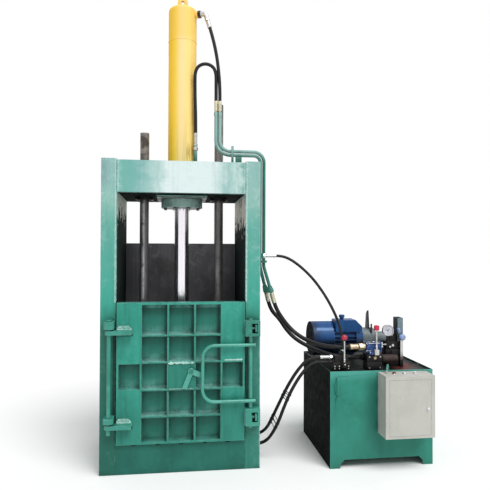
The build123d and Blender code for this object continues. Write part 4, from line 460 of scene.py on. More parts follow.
def door_places(f, colour):
    """Door cells painted darker than the ribs as shade, with painted shadows by the ribs and hinge arms, and
    paler again where rain and dust gather at each foot.
    """
    g, w = f.g, f.weather
    row = g.math("FRACT", g.math("DIVIDE", g.minus(f.z, DOOR_LOW), DOOR_PITCH))
    plate = g.above(f.y, DOOR_Y + 0.0015)
    # painted shade: the recessed cells darker than the ribs
    colour = g.coat(colour, (45, 116, 103), plate, 0.7)
    middle = g.times(
        f.within(f.x, RIB_X[1], RIB_X[2], 0.002), f.within(f.z, DOOR_ROWS[1], DOOR_ROWS[2], 0.002),
    )
    colour = g.coat(colour, (42, 120, 105), middle, 0.8)
    foot = g.times(g.step(row, 0.42, 0.04), g.step(w["Blotch"], 0.25, 0.60))
    colour = g.coat(colour, (106, 172, 162), foot, plate, 0.85)
    # painted shadow at the top of each cell, under the rib above
    head = g.times(g.step(row, 0.60, 0.95), plate)
    colour = g.coat(colour, (35, 96, 85), head, 0.6)
    # painted shadow down the right side of each cell, beside the upright rib
    for x in RIB_X[1:] + (DOOR_HALF - 0.008,):
        side = g.times(f.within(f.x, x - 0.028, x - 0.004, 0.007), plate, 0.6)
        colour = g.coat(colour, (22, 70, 60), side)
    low = g.step(f.z, 0.75, 0.30)
    colour = g.coat(colour, (42, 112, 98), low, 0.55)
    for z in HINGE_ROWS:
        shadow = g.times(f.within(f.z, z - 0.020, z + 0.002, 0.004), g.step(f.x, -0.358, -0.368))
        colour = g.coat(colour, (14, 52, 44), shadow, 0.75)
    inner = g.below(g.abs(f.x), RIB_X[3] - 0.001)
    ribs = g.times(inner, g.minus(1.0, plate))
    ribs = g.times(ribs, g.minus(1.0, middle))
    ribs = g.times(ribs, f.within(f.z, DOOR_LOW + 0.02, DOOR_TOP - 0.02, 0.002))
    colour = g.coat(colour, (58, 128, 115), ribs, 0.6)
    for z in DOOR_ROWS:
        # painted shadow line under each rib
        rib_shadow = g.times(f.within(f.z, z - 0.013, z - 0.0035, 0.0015), inner, 0.75)
        colour = g.coat(colour, (20, 64, 55), rib_shadow)
        crumbs = g.times(f.within(f.z, z + 0.006, z + 0.019, 0.003), inner, plate)
        crumbs = g.times(crumbs, g.step(w["Grain"], 0.40, 0.60, 0.1, 0.75))
        colour = g.coat(colour, (156, 206, 197), crumbs)
    return colour


def tank_places(f, colour):
    """The tank's front is lighter than its near-black left side and pales towards the rim, with painted
    shade on its rims behind the motor.
    """
    g = f.g
    # painted shade on the tank's far rims, behind the motor
    behind = g.times(g.above(f.y, TANK_Y[0] + 0.012), g.above(f.z, TANK_TOP - 0.016))
    rim = g.step(f.z, 0.66, 0.75)
    colour = g.coat(colour, (88, 172, 159), rim, 0.6)
    low = g.step(f.z, 0.55, 0.05)
    colour = g.coat(colour, (50, 122, 107), low, 0.45)
    shade = g.times(f.within(f.x, 1.44, 1.56, 0.06), f.within(f.z, 0.20, 0.70, 0.08))
    colour = g.coat(colour, (34, 84, 74), shade, 0.45)
    return g.coat(colour, (22, 36, 32), behind, 0.85)


def side_places(f, colour):
    """The tank's left side is near-black, painted shade and old oil together, and blackest at its foot."""
    g = f.g
    low = g.step(f.z, 0.16, 0.02)
    return g.coat(colour, (8, 10, 9), low, 0.6)


def lid_places(f, colour):
    """Oil spilt on the tank's lid, rusty brown at the right, black along the far rim."""
    g, w = f.g, f.weather
    right = g.times(g.step(f.x, 1.70, 1.78), g.step(f.x, 1.94, 1.88))
    colour = g.coat(colour, (98, 46, 44), right, g.step(w["Blotch"], 0.32, 0.55))
    far = g.either(g.step(f.y, 0.10, 0.24), g.step(f.x, 1.92, 1.95))
    return g.coat(colour, (16, 17, 16), far, 0.8)


def wall_places(f, colour):
    """Scrapes and stains that run down the chamber's back wall."""
    g, w = f.g, f.weather
    runs = g.noise(g.scaled(f.where, 1.0, 1.0, 0.05), 60.0, 4.0, 0.65)
    colour = g.coat(colour, (134, 132, 141), g.step(runs, 0.35, 0.75))
    colour = g.coat(colour, (192, 189, 190), g.step(w["Blotch"], 0.52, 0.66, 0.0, 0.6))
    colour = g.coat(colour, (112, 108, 102), g.step(w["Cloud"], 0.55, 0.66, 0.0, 0.6))
    edges = g.step(g.abs(f.x), 0.36, 0.49)
    colour = g.coat(colour, (96, 98, 98), edges, 0.7)
    low = g.step(f.z, 1.65, 1.28)
    colour = g.coat(colour, (112, 112, 117), low, 0.5)
    rear = g.above(f.y, WALL_REAR - 0.006)
    return g.coat(colour, (50, 140, 122), rear)


def cylinder_places(f, colour):
    """A painted sheen across the cylinder: deeper orange at its flanks and a pale painted highlight down its
    front, with oil runs near its foot.
    """
    g, w = f.g, f.weather
    # painted sheen: deeper orange flanks and a pale painted highlight down the front
    across = g.ramp(g.step(f.x, -BARREL_R, BARREL_R), [
        (0.00, tint(255, 206, 52)), (0.16, tint(255, 216, 80)), (0.36, tint(253, 228, 168)),
        (0.55, tint(253, 226, 164)), (0.82, tint(255, 230, 146)), (1.00, tint(250, 210, 118)),
    ])
    colour = g.mix(0.8, colour, across)
    runs = g.noise(g.scaled(f.where, 1.0, 1.0, 0.04), 30.0, 3.0, 0.5)
    foot = g.step(f.z, 2.85, 2.45)
    mark = g.times(g.step(runs, 0.56, 0.68), g.plus(0.04, g.times(foot, 0.14)))
    colour = g.coat(colour, (134, 88, 34), mark)
    drips = g.times(f.within(f.x, 0.03, 0.10, 0.02), g.step(f.z, 2.62, 2.50))
    drips = g.times(drips, g.step(g.noise(g.scaled(f.where, 1.0, 1.0, 0.10), 60.0, 2.0, 0.5), 0.50, 0.60))
    colour = g.coat(colour, (128, 84, 38), drips, 0.45)
    colour = g.coat(colour, (248, 204, 96), g.step(f.z, CAP_TOP - 0.32, CAP_TOP - 0.24, 0.0, 0.45))
    smear = g.times(g.step(f.z, CAP_TOP - 0.02, CAP_TOP + 0.03), g.step(w["Blotch"], 0.45, 0.65))
    return g.coat(colour, (150, 120, 70), smear, 0.25)


def guide_places(f, colour):
    """Old grease on the guide rods, with a painted highlight in one band down the left one."""
    g, w = f.g, f.weather
    # painted highlight in one band down the left rod
    highlight_stripe = g.times(f.within(f.x, -0.332, -0.308, 0.006), g.step(w["Blotch"], 0.30, 0.55))
    above = g.step(f.z, 2.45, 2.30)
    colour = g.coat(colour, (190, 192, 196), highlight_stripe, above, 0.85)
    top = g.times(g.step(f.x, 0.0, -0.1), g.step(f.z, 2.42, 2.50))
    patchy = g.coat(tint(70, 60, 54), (142, 134, 127), g.step(w["Blotch"], 0.40, 0.58))
    colour = g.mix(g.times(top, 0.85), colour, patchy)
    brown = g.times(g.step(f.x, 0.0, 0.2), g.step(w["Cloud"], 0.4, 0.6))
    return g.coat(colour, (168, 162, 156), brown, 0.5)


def pipe_places(f, colour):
    """Painted light makes the pipes pale near the hose ends; they are greener down to the beam."""
    g = f.g
    # painted light: paler towards the hose ends
    high = g.step(f.z, 2.42, 2.56)
    colour = g.coat(colour, (156, 192, 186), high, 0.85)
    down = g.times(g.step(f.x, 0.60, 0.64), g.step(f.z, 1.75, 1.45))
    return g.coat(colour, (96, 160, 146), down, 0.5)


def motor_places(f, colour):
    """The motor's underside is dark, and a painted highlight runs along one band of its cowl."""
    g, w = f.g, f.weather
    low = g.step(f.z, 0.955, 0.885)
    colour = g.coat(colour, (15, 17, 22), low, 0.9)
    end = g.step(f.x, 1.162, 1.1545)
    colour = g.coat(colour, (14, 19, 24), end, 0.92)
    shade = g.step(f.x, 1.235, 1.175)
    colour = g.coat(colour, (26, 36, 48), shade, 0.6)
    front = g.below(f.y, 0.10)
    # painted highlight along one band of the cowl
    band = g.times(f.within(f.z, 1.000, 1.020, 0.006), f.within(f.x, 1.185, 1.345, 0.010))
    band = g.times(band, front, g.step(w["Blotch"], 0.30, 0.55, 0.5, 1.0))
    return g.coat(colour, (120, 160, 212), band, 0.8)


def pump_places(f, colour):
    """The upright plate and the vent stub are black, and the castings behind them bare grey."""
    g = f.g
    across, above = g.minus(f.y, MOTOR_Y), g.minus(f.z, MOTOR_Z)
    away = g.math("SQRT", g.plus(g.times(across, across), g.times(above, above)))
    plate = g.times(g.above(away, 0.0885), f.within(f.x, 1.680, 1.700, 0.001))
    stub = g.times(g.above(f.z, 0.966), f.within(f.x, 1.690, 1.710, 0.001))
    return g.coat(colour, (24, 25, 26), g.either(plate, stub))


def post_places(f, colour):
    """The post's left face and its open inside are painted near-black as shade, and its front is slate blue.
    """
    g = f.g
    # painted shade on the post's left face and inside its open top
    left = g.below(f.x, 1.7845)
    within = g.times(f.within(f.x, 1.7885, 1.8275, 0.0005), f.within(f.y, -0.2955, -0.2145, 0.0005))
    return g.coat(colour, (26, 29, 27), g.either(left, within))


FRAME_GREEN = paint(
    "frame_green", (54, 146, 129), (42, 124, 108), (90, 166, 152), (16, 52, 45), (160, 192, 182),
    places=frame_places, runs=0.12,
)
CHUTE = paint(
    "chute_wall", (40, 48, 46), (22, 30, 28), (58, 66, 62), (14, 18, 17), (120, 140, 132),
    rough=0.8, places=chute_places, Specular_IOR_Level=0.02,
)
BASE_GREEN = paint(
    "base_green", (38, 108, 95), (31, 94, 82), (54, 124, 110), (16, 50, 43), (86, 138, 126), runs=0.10,
)
DOOR_GREEN = paint(
    "door_green", (58, 156, 138), (46, 138, 121), (80, 168, 152), (12, 44, 38), (140, 184, 172),
    places=door_places, reach=0.07,
)
TRIM_GREEN = paint(
    "trim_green", (56, 144, 127), (42, 122, 106), (86, 166, 151), (8, 30, 26), (166, 204, 192),
    rough=0.34, edge=0.004, reach=0.05, runs=0.1, Specular_IOR_Level=0.4,
)
HANDLE_GREEN = paint(
    "handle_green", (70, 162, 144), (54, 140, 123), (104, 184, 168), (12, 40, 34), (176, 210, 200),
    rough=0.30, edge=0.004, reach=0.03, runs=0.0, Specular_IOR_Level=0.6,
)
PIPE_GREEN = paint(
    "pipe_green", (50, 122, 106), (38, 100, 86), (92, 152, 140), (20, 50, 42), (150, 176, 164),
    places=pipe_places, edge=0.003,
)
TANK_GREEN = paint(
    "tank_green", (50, 138, 121), (42, 122, 106), (68, 152, 136), (18, 60, 51), (124, 172, 160),
    places=tank_places, runs=0.08,
)
# near-black painted shade and old oil on the tank's left side; the motor cowl's left end takes it too
TANK_SIDE = paint(
    "tank_side", (13, 18, 16), (8, 11, 10), (24, 31, 29), (5, 6, 6), (34, 62, 54),
    rough=0.75, places=side_places, Specular_IOR_Level=0.05,
)
GLAND_GREEN = paint(
    "gland_green", (150, 184, 176), (62, 94, 86), (230, 240, 236), (22, 38, 33), (232, 236, 232),
    edge=0.004,
)
PLATE_DARK = paint(
    "plate_dark", (116, 130, 124), (60, 74, 69), (178, 188, 182), (12, 18, 16), (214, 222, 218),
    edge=0.004,
)
YELLOW = paint(
    "cylinder_yellow", (248, 206, 106), (242, 192, 84), (253, 224, 150), (168, 112, 40), (252, 232, 180),
    rough=0.45, places=cylinder_places, runs=0.03, reach=0.05, Specular_IOR_Level=0.06,
)
CREAM = paint(
    "cabinet_cream", (188, 188, 181), (178, 178, 171), (198, 198, 192), (104, 107, 98), (222, 222, 216),
    rough=0.45, runs=0.02, edge=0.003, bump=0.05,
)
MOTOR_BLUE = paint(
    "motor_blue", (36, 84, 140), (27, 64, 112), (60, 110, 168), (12, 18, 32), (104, 142, 188),
    rough=0.4, places=motor_places, edge=0.003, reach=0.03,
)
VALVE_BLUE = paint(
    "valve_blue", (34, 78, 150), (24, 56, 114), (74, 122, 190), (10, 18, 38), (150, 180, 218), rough=0.36,
    edge=0.003, reach=0.03, Specular_IOR_Level=0.4,
)
CASTING_GREY = paint(
    "casting_grey", (112, 124, 128), (78, 88, 92), (158, 168, 170), (26, 30, 32), (196, 200, 200),
    rough=0.45, places=pump_places, edge=0.003, reach=0.04, Specular_IOR_Level=0.4,
)
POST_SLATE = paint(
    "post_slate", (138, 158, 168), (112, 130, 138), (160, 178, 186), (30, 38, 38), (176, 190, 192),
    places=post_places, edge=0.002,
)
CAP_BLUE = paint(
    "cap_blue", (184, 196, 230), (136, 158, 206), (228, 232, 246), (46, 62, 84), (232, 238, 246),
    rough=0.25, edge=0.002, Specular_IOR_Level=0.6,
)
BLACK = paint(
    "valve_black", (22, 21, 22), (13, 12, 13), (44, 40, 38), (6, 6, 6), (92, 86, 80), rough=0.45,
    edge=0.002, reach=0.04, Specular_IOR_Level=0.3,
)
RED = paint(
    "lever_red", (208, 44, 78), (168, 24, 52), (230, 104, 128), (70, 8, 18), (236, 140, 150), rough=0.3,
    edge=0.002, Specular_IOR_Level=0.5,
)
STOP_RED = paint(
    "stop_red", (120, 22, 30), (92, 14, 20), (150, 50, 56), (40, 8, 10), (180, 96, 98), rough=0.35,
    edge=0.001,
)
WHITE = paint(
    "dial_white", (236, 238, 248), (226, 228, 240), (246, 248, 253), (140, 140, 144), (244, 246, 250),
    rough=0.35, edge=0.001,
)
LID_DARK = paint(
    "lid_dark", (30, 35, 33), (18, 21, 20), (56, 62, 60), (8, 9, 8), (80, 104, 98),
    rough=0.5, places=lid_places, edge=0.003, Specular_IOR_Level=0.10,
)
WALL_STEEL = metal(
    "wall_steel", (162, 160, 167), (114, 112, 117), rough=0.6, places=wall_places, metallic=0.0,
    stretch=(1, 1, 0.05), Specular_IOR_Level=0.2,
)
GRIMY_STEEL = metal("grimy_steel", (74, 72, 70), (38, 36, 34), rough=0.5, metallic=0.2, worn_and_glint=(150, 148, 144))
CHROME = metal("rod_chrome", (250, 246, 252), (224, 220, 228), rough=0.15, stretch=(1, 1, 0.02), dirty=0.15)
GUIDE_STEEL = metal(
    "guide_steel", (108, 107, 107), (38, 37, 37), rough=0.34, places=guide_places, metallic=0.5,
    stretch=(1, 1, 0.03), dirty=0.7,
)
BOLT_STEEL = metal("bolt_steel", (58, 56, 54), (26, 25, 24), rough=0.4, metallic=0.7, worn_and_glint=(226, 226, 222))
ZINC = metal("zinc", (214, 214, 212), (134, 132, 126), rough=0.26, dirty=0.4, edge=0.002)
BRASS = metal("brass", (204, 186, 156), (116, 98, 74), rough=0.38, dirty=0.5, edge=0.002)
CREAM_ZINC = metal(
    "cream_zinc", (220, 214, 188), (156, 148, 118), rough=0.34, dirty=0.4, metallic=0.7, edge=0.002,
)
RUST_BROWN = metal(
    "rust_brown", (58, 45, 41), (28, 22, 21), rough=0.55, metallic=0.1, dirty=0.7, worn_and_glint=(116, 96, 80),
    Specular_IOR_Level=0.3,
)
BEAD = paint(
    "bead_green", (122, 178, 166), (74, 142, 128), (196, 218, 210), (30, 70, 60), (214, 228, 222),
    edge=0.003, reach=0.02,
)
CRUST = paint(
    "crust", (184, 220, 211), (110, 176, 162), (238, 246, 243), (28, 70, 60), (232, 242, 238), rough=0.6,
    edge=0.003, reach=0.02, bump=0.5,
)


def rubber_finish():
    """Hose rubber: near black, dusty, with the fine weave of its wrapping pressed in."""
    f = Finish("hose_rubber", 0.002, 0.03)
    g, w = f.g, f.weather
    colour = g.coat(tint(17, 17, 18), (34, 33, 32), g.step(w["Blotch"], 0.35, 0.75))
    colour = g.coat(colour, (78, 76, 72), w["Specks"], 0.4)
    roughness = g.step(w["Blotch"], 0.3, 0.7, 0.42, 0.60)
    return f.done(colour, roughness, bump=0.35, depth=0.0008, Specular_IOR_Level=0.28)


RUBBER = rubber_finish()


def glass_finish():
    """Clear glass over the dial of the gauge."""
    mat = bpy.data.materials.new("gauge_glass")
    mat.use_nodes = True
    shader = mat.node_tree.nodes["Principled BSDF"]
    shader.inputs["Base Color"].default_value = (1, 1, 1, 1)
    shader.inputs["Roughness"].default_value = 0.03
    shader.inputs["Transmission Weight"].default_value = 1.0
    shader.inputs["IOR"].default_value = 1.05
    return mat


GLASS = glass_finish()


# Mesh building


class Form:
    """Mesh geometry gathered for one piece, each part of it in the finish named last."""

    def __init__(self, finish):
        self.bm = bmesh.new()
        self.finishes = [finish]
        self.index = 0

    def use(self, finish):
        if finish not in self.finishes:
            self.finishes.append(finish)
        self.index = self.finishes.index(finish)
        return self

    def add(self, bm):
        """Takes in one closed part, with its faces turned outwards."""
        bmesh.ops.recalc_face_normals(bm, faces=bm.faces)
        for face in bm.faces:
            face.material_index = self.index
        mesh = bpy.data.meshes.new("part")
        bm.to_mesh(mesh)
        bm.free()
        self.bm.from_mesh(mesh)
        bpy.data.meshes.remove(mesh)
        return self

    def capped(self, bm):
        """Fills the open ends of a part and takes it in."""
        bmesh.ops.holes_fill(bm, edges=[edge for edge in bm.edges if edge.is_boundary], sides=0)
        return self.add(bm)

    def rings(self, rings, closed=False):
        """Bridges a row of rings of points, and caps its ends where it isn't closed."""
        bm = bmesh.new()
        edges = []
        for ring in rings:
            verts = [bm.verts.new(point) for point in ring]
            edges += [bm.edges.new(pair) for pair in zip(verts, verts[1:] + verts[:1])]
        bmesh.ops.bridge_loops(bm, edges=edges, use_cyclic=closed)
        return self.add(bm) if closed else self.capped(bm)

    def turned(self, base, axis, profile, steps=28):
        """A profile of (along, radius) pairs spun about the axis through base."""
        bm = bmesh.new()
        verts = [bm.verts.new((radius, 0, along)) for along, radius in profile]
        edges = [bm.edges.new(pair) for pair in zip(verts, verts[1:])]
        bmesh.ops.spin(
            bm, geom=verts + edges, cent=(0, 0, 0), axis=UP, angle=math.tau, steps=steps, use_merge=True,
        )
        bmesh.ops.remove_doubles(bm, verts=bm.verts, dist=SAME_PLACE)
        turn = Vector(axis).to_track_quat("Z", "Y").to_matrix().to_4x4()
        bmesh.ops.transform(bm, matrix=Matrix.Translation(Vector(base)) @ turn, verts=bm.verts)
        return self.capped(bm)

    def rod(self, base, axis, length, radius, ease=0.001, steps=20):
        """A round or many-sided bar with its ends eased."""
        profile = [(0, radius - ease), (ease, radius), (length - ease, radius), (length, radius - ease)]
        return self.turned(base, axis, profile, steps)

    def hexagon(self, base, axis, length, flats):
        """A nut or bolt head, chamfered at both ends."""
        return self.rod(base, axis, length, flats / 2 / math.cos(math.pi / 6), flats * 0.06, 6)

    def screw(self, base, radius, socket, height=0.005):
        """The head of a socket screw that points to the front."""
        return self.turned(base, FRONT, [
            (-0.002, radius), (0.004, radius), (height, radius - 0.001), (height, socket),
            (0.002, socket), (0.002, 0),
        ], 14)

    def block(self, low, high, edge=0.002, turn=None):
        """A box with rounded edges, turned about its middle where a matrix is given."""
        low, high = Vector(low), Vector(high)
        bm = bmesh.new()
        bmesh.ops.create_cube(bm, size=1)
        bmesh.ops.scale(bm, vec=high - low, verts=bm.verts)
        if edge:
            bmesh.ops.bevel(
                bm, geom=bm.edges[:], offset=edge, segments=2, profile=0.5, affect="EDGES", material=-1,
            )
        place = Matrix.Translation((low + high) / 2) @ (turn or Matrix.Identity(4))
        bmesh.ops.transform(bm, matrix=place, verts=bm.verts)
        return self.add(bm)

    def bar(self, points, radius, steps=12, swell=None):
        """A round bar along a row of points; swell gives a factor on the radius at each point."""
        points = [Vector(p) for p in points]
        side = None
        rings = []
        for i, point in enumerate(points):
            ahead = (points[min(i + 1, len(points) - 1)] - points[max(i - 1, 0)]).normalized()
            if side is None:
                side = ahead.orthogonal().normalized()
            side = (side - ahead * side.dot(ahead)).normalized()
            other = ahead.cross(side)
            size = radius * (swell[i] if swell else 1)
            angles = [math.tau * k / steps for k in range(steps)]
            rings.append([point + (side * math.cos(a) + other * math.sin(a)) * size for a in angles])
        return self.rings(rings)

    def bead(self, points, outs, width, seed, rough=0.10, loop=False):
        """A weld bead in overlapping ripples along points, standing out of the surface."""
        rng = random.Random(seed)
        points, outs = [Vector(p) for p in points], [Vector(o).normalized() for o in outs]
        rings = []
        last = len(points) - 1
        for i, (point, out) in enumerate(zip(points, outs)):
            if loop:
                ahead = (points[(i + 1) % len(points)] - points[i - 1]).normalized()
            else:
                ahead = (points[min(i + 1, last)] - points[max(i - 1, 0)]).normalized()
            side = ahead.cross(out).normalized()
            ripple = 1.0 - 0.16 * (i % 3) / 2
            size = width / 2 * (ripple + rng.uniform(-rough, rough))
            if not loop:
                size *= min(1.0, 0.45 + min(i, last - i) * 0.3)
            shift = side * rng.uniform(-rough, rough) * width * 0.5
            arc = [math.radians(a) for a in (-100, -62, -28, 0, 28, 62, 100)]
            ring = [point + shift + side * math.sin(a) * size + out * math.cos(a) * size * 0.62 for a in arc]
            rings.append(ring)
        return self.rings(rings, loop)

    def seam(self, start, end, out, width, seed, rough=0.10):
        """A straight weld bead."""
        start, end = Vector(start), Vector(end)
        count = max(6, int((end - start).length / (width * 0.24)))
        points = [start.lerp(end, i / count) for i in range(count + 1)]
        return self.bead(points, [out] * (count + 1), width, seed, rough)

    def ring_seam(self, centre, radius, width, seed, lift=0.0, axis=UP):
        """A weld bead all round a cylinder; lift leans it along the axis."""
        turn = Vector(axis).to_track_quat("Z", "Y").to_matrix()
        count = int(math.tau * radius / (width * 0.3)) // 3 * 3
        angles = [math.tau * i / count for i in range(count)]
        arms = [turn @ Vector((math.cos(a), math.sin(a), 0)) for a in angles]
        outs = [arm + Vector(axis) * lift for arm in arms]
        return self.bead([Vector(centre) + arm * radius for arm in arms], outs, width, seed, 0.10, True)

    def piece(self, name, body, slot_name, replaced=(), crease=32):
        """Makes the object: smooth faces, sharp where they turn by more than crease."""
        mesh = bpy.data.meshes.new(name)
        self.bm.to_mesh(mesh)
        self.bm.free()
        for finish in self.finishes:
            mesh.materials.append(finish)
        mesh.polygons.foreach_set("use_smooth", [True] * len(mesh.polygons))
        mesh.set_sharp_from_angle(angle=math.radians(crease))
        obj = bpy.data.objects.new(name, mesh)
        scene.collection.objects.link(obj)
        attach(obj, body)
        if replaced:
            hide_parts(*replaced)
        return obj


def eased(start, corner, end, steps=8):
    """Points on the curve that rounds a corner."""
    parts = [i / steps for i in range(steps + 1)]
    return [start.lerp(corner, t).lerp(corner.lerp(end, t), t) for t in parts]


def round_trip(centre, across, up, radius, start, end, steps):
    """Points on an arc about centre, from one angle in degrees to the other."""
    centre, across, up = Vector(centre), Vector(across), Vector(up)
    angles = [math.radians(start + (end - start) * i / steps) for i in range(steps + 1)]
    return [centre + across * math.cos(a) * radius + up * math.sin(a) * radius for a in angles]


# Hoses and their fittings

hoses = {name: make_hose(name, d, points, RUBBER) for name, (d, points) in HOSES.items()}

# Where each fitting stands, which way it points, its sleeve and nut, and what they are plated with
FITTINGS = [
    ((0.203, -0.090, 3.640), (0.278, -0.124, -0.952), 0.037, 0.062, 0.040, 0.017, ZINC, ZINC),
    ((0.110, -0.100, 2.570), UP, 0.030, 0.088, 0.030, 0.017, ZINC, ZINC),
    ((0.278, -0.120, 2.800), UP, 0.030, 0.088, 0.030, 0.056, CREAM_ZINC, PIPE_GREEN),
    ((0.310, -0.120, 2.800), UP, 0.030, 0.088, 0.030, 0.056, CREAM_ZINC, PIPE_GREEN),
    ((0.703, -0.064, 1.400), (0.274, 0.301, -0.914), 0.040, 0.088, 0.046, 0.056, CREAM_ZINC, PIPE_GREEN),
    ((0.735, -0.120, 1.400), (0.287, 0, -0.958), 0.040, 0.088, 0.046, 0.056, CREAM_ZINC, PIPE_GREEN),
    ((1.466, -0.400, 0.930), LEFT, 0.046, 0.070, 0.052, 0.056, BRASS, BRASS),
    ((1.478, -0.332, 0.834), LEFT, 0.040, 0.053, 0.046, 0.028, BLACK, BLACK),
    ((0.666, -0.200, 1.657), RIGHT, 0.027, 0.088, 0.034, 0.022, ZINC, ZINC),
    ((1.289, -0.365, 0.892), UP, 0.027, 0.035, 0.032, 0.017, BLACK, ZINC),
    ((1.196, -0.386, 0.850), LEFT, 0.030, 0.075, 0.034, 0.022, ZINC, ZINC),
    ((1.196, -0.378, 0.810), LEFT, 0.030, 0.075, 0.034, 0.022, BLACK, BLACK),
    ((0.519, -0.200, 0.115), RIGHT, 0.030, 0.026, 0.034, 0.011, ZINC, ZINC),
    ((0.519, 0.020, 0.115), RIGHT, 0.030, 0.026, 0.034, 0.011, ZINC, ZINC),
]


def make_fittings():
    """Crimped sleeves and swivel nuts at the hose ends, and the bulkhead block on the frame's side."""
    form = Form(ZINC)
    for base, way, sleeve_d, sleeve_l, nut_w, nut_l, sleeve_finish, nut_finish in FITTINGS:
        way = Vector(way).normalized()
        base = Vector(base)
        form.use(nut_finish)
        if nut_l > 0.04:
            form.rod(base, way, nut_l * 0.42, nut_w * 0.45, steps=24)
            form.hexagon(base + way * nut_l * 0.34, way, nut_l * 0.62, nut_w * 0.98)
        else:
            form.hexagon(base, way, nut_l * 0.92, nut_w * 0.98)
        form.use(sleeve_finish)
        r, length = sleeve_d / 2, sleeve_l
        profile = [
            (-0.002, r * 0.62), (length * 0.05, r * 0.62), (length * 0.06, r * 0.92), (length * 0.10, r),
        ]
        for groove in (0.30, 0.48, 0.66):
            profile += [
                (length * (groove - 0.05), r), (length * (groove - 0.03), r * 0.90),
                (length * (groove + 0.03), r * 0.90), (length * (groove + 0.05), r),
            ]
        profile += [(length * 0.95, r), (length, r * 0.93), (length, r * 0.80)]
        form.turned(base + way * nut_l, way, profile, 24)
    form.use(PIPE_GREEN)
    form.block((FRAME_HALF, -0.222, 1.635), (0.664, -0.178, 1.679), 0.003)
    form.rod((0.638, -0.200, 1.679), UP, 0.003, 0.011)
    form.hexagon((0.663, -0.200, 1.657), RIGHT, 0.005, 0.036)
    form.piece("hose_fittings", "machine", "fitting_zinc", ["hose_ferrules"])


make_fittings()


def hose_line(name):
    """The points of a hose's own smooth line."""
    data = hoses[name].data.copy()
    data.bevel_depth = 0
    probe = bpy.data.objects.new("probe", data)
    mesh = bpy.data.meshes.new_from_object(probe)
    points = [v.co.copy() for v in mesh.vertices]
    bpy.data.objects.remove(probe)
    bpy.data.meshes.remove(mesh)
    return points


def make_hose_ties():
    """Plastic ties that hold the two ejector hoses together, two above and two below."""
    rear, front = hose_line("hose_ejector_rear"), hose_line("hose_ejector_front")
    form = Form(RUBBER)
    for height in (0.570, 0.540, 0.345, 0.315):
        a = min(rear, key=lambda p: abs(p.z - height))
        b = min(front, key=lambda p: (p - a).length)
        across = (b - a).normalized()
        index = rear.index(a)
        ahead = (rear[index + 1] - rear[index - 1]).normalized()
        other = ahead.cross(across).normalized()
        span = (b - a).length
        width = ahead * 0.0035
        band = round_trip(b, across, other, TIE_R, -90, 90, 8) + round_trip(
            a, across, other, TIE_R, 90, 270, 8,
        )
        middles = [a + across * max(0.0, min(span, (point - a).dot(across))) for point in band]
        bm = bmesh.new()
        edges = []
        for lift in (0.0, 0.0016):
            outline = [
                bm.verts.new(point - width + (point - middle).normalized() * lift)
                for point, middle in zip(band, middles)
            ]
            edges += [bm.edges.new(pair) for pair in zip(outline, outline[1:] + outline[:1])]
        bmesh.ops.bridge_loops(bm, edges=edges)
        grown = bmesh.ops.extrude_face_region(bm, geom=bm.faces[:], use_keep_orig=True)["geom"]
        far_side = [part for part in grown if isinstance(part, bmesh.types.BMVert)]
        bmesh.ops.translate(bm, vec=width * 2, verts=far_side)
        form.add(bm)
        lock = a.lerp(b, 0.5) + other * (TIE_R + 0.003)
        form.block(lock - Vector((0.005, 0.005, 0.005)), lock + Vector((0.005, 0.005, 0.005)), 0.001)
    form.piece("hose_ties", "machine", "hose_rubber")


make_hose_ties()

# Welds


def make_frame_welds():
    """Weld beads where the frame's plates meet, painted over with the frame."""
    form = Form(BEAD)
    for side in (-1, 1):
        x = side * OPEN_X
        form.seam(
            (x, FRONT_Y, DOOR_TOP + 0.01), (x, FRONT_Y, BEAM_LOW), (-side * 0.6, -1, 0), 0.008, 15 + side,
            0.34,
        )
        form.seam((x, FRONT_Y, BEAM_LOW), (x, FRONT_Y, BEAM_TOP), FRONT, 0.013, 11 + side, 0.34)
        form.seam((x, 0.34, BEAM_LOW), (x, -0.38, BEAM_LOW), (-side, 0, -1), 0.010, 21 + side)
    form.seam(
        (-PLATE_HALF, -PLATE_HALF, BEAM_LOW), (PLATE_HALF, -PLATE_HALF, BEAM_LOW), (0, -1, -0.4), 0.011,
        31,
    )
    for side in (-1, 1):
        x = side * PLATE_HALF
        form.seam((x, -0.20, BEAM_LOW), (x, 0.20, BEAM_LOW), (side, 0, -0.4), 0.010, 33 + side)
    form.seam((-0.490, -0.384, BEAM_LOW), (0.490, -0.384, BEAM_LOW), (0, 0.5, -1), 0.009, 36)
    form.seam((0.405, -0.142, BEAM_TOP), (0.425, -0.142, BEAM_TOP), (0, -1, 0.6), 0.007, 41)
    form.seam((0.443, -0.138, BEAM_TOP), (0.493, -0.138, BEAM_TOP), (0, -1, 0.6), 0.007, 42)
    form.piece("frame_welds", "machine", "press_green")


def make_cylinder_welds():
    """The ring welds of the cylinder, its lug, its port boss and its foot."""
    form = Form(YELLOW)
    form.ring_seam((0, 0, BARREL_TOP), BARREL_R - 0.0005, 0.011, 51)
    form.ring_seam((0, 0, BEAM_TOP + 0.002), BARREL_R + 0.001, 0.012, 52, 0.8)
    form.ring_seam((0.110, -0.045, 3.690), 0.028, 0.008, 53, 0.5, (0.914, -0.407, 0))
    for side in (-1, 1):
        form.seam(
            (-0.040, side * 0.013, CAP_TOP), (0.040, side * 0.013, CAP_TOP), (0, side, 0.8), 0.009,
            55 + side,
        )
    form.piece("cylinder_welds", "machine", "cylinder_yellow")


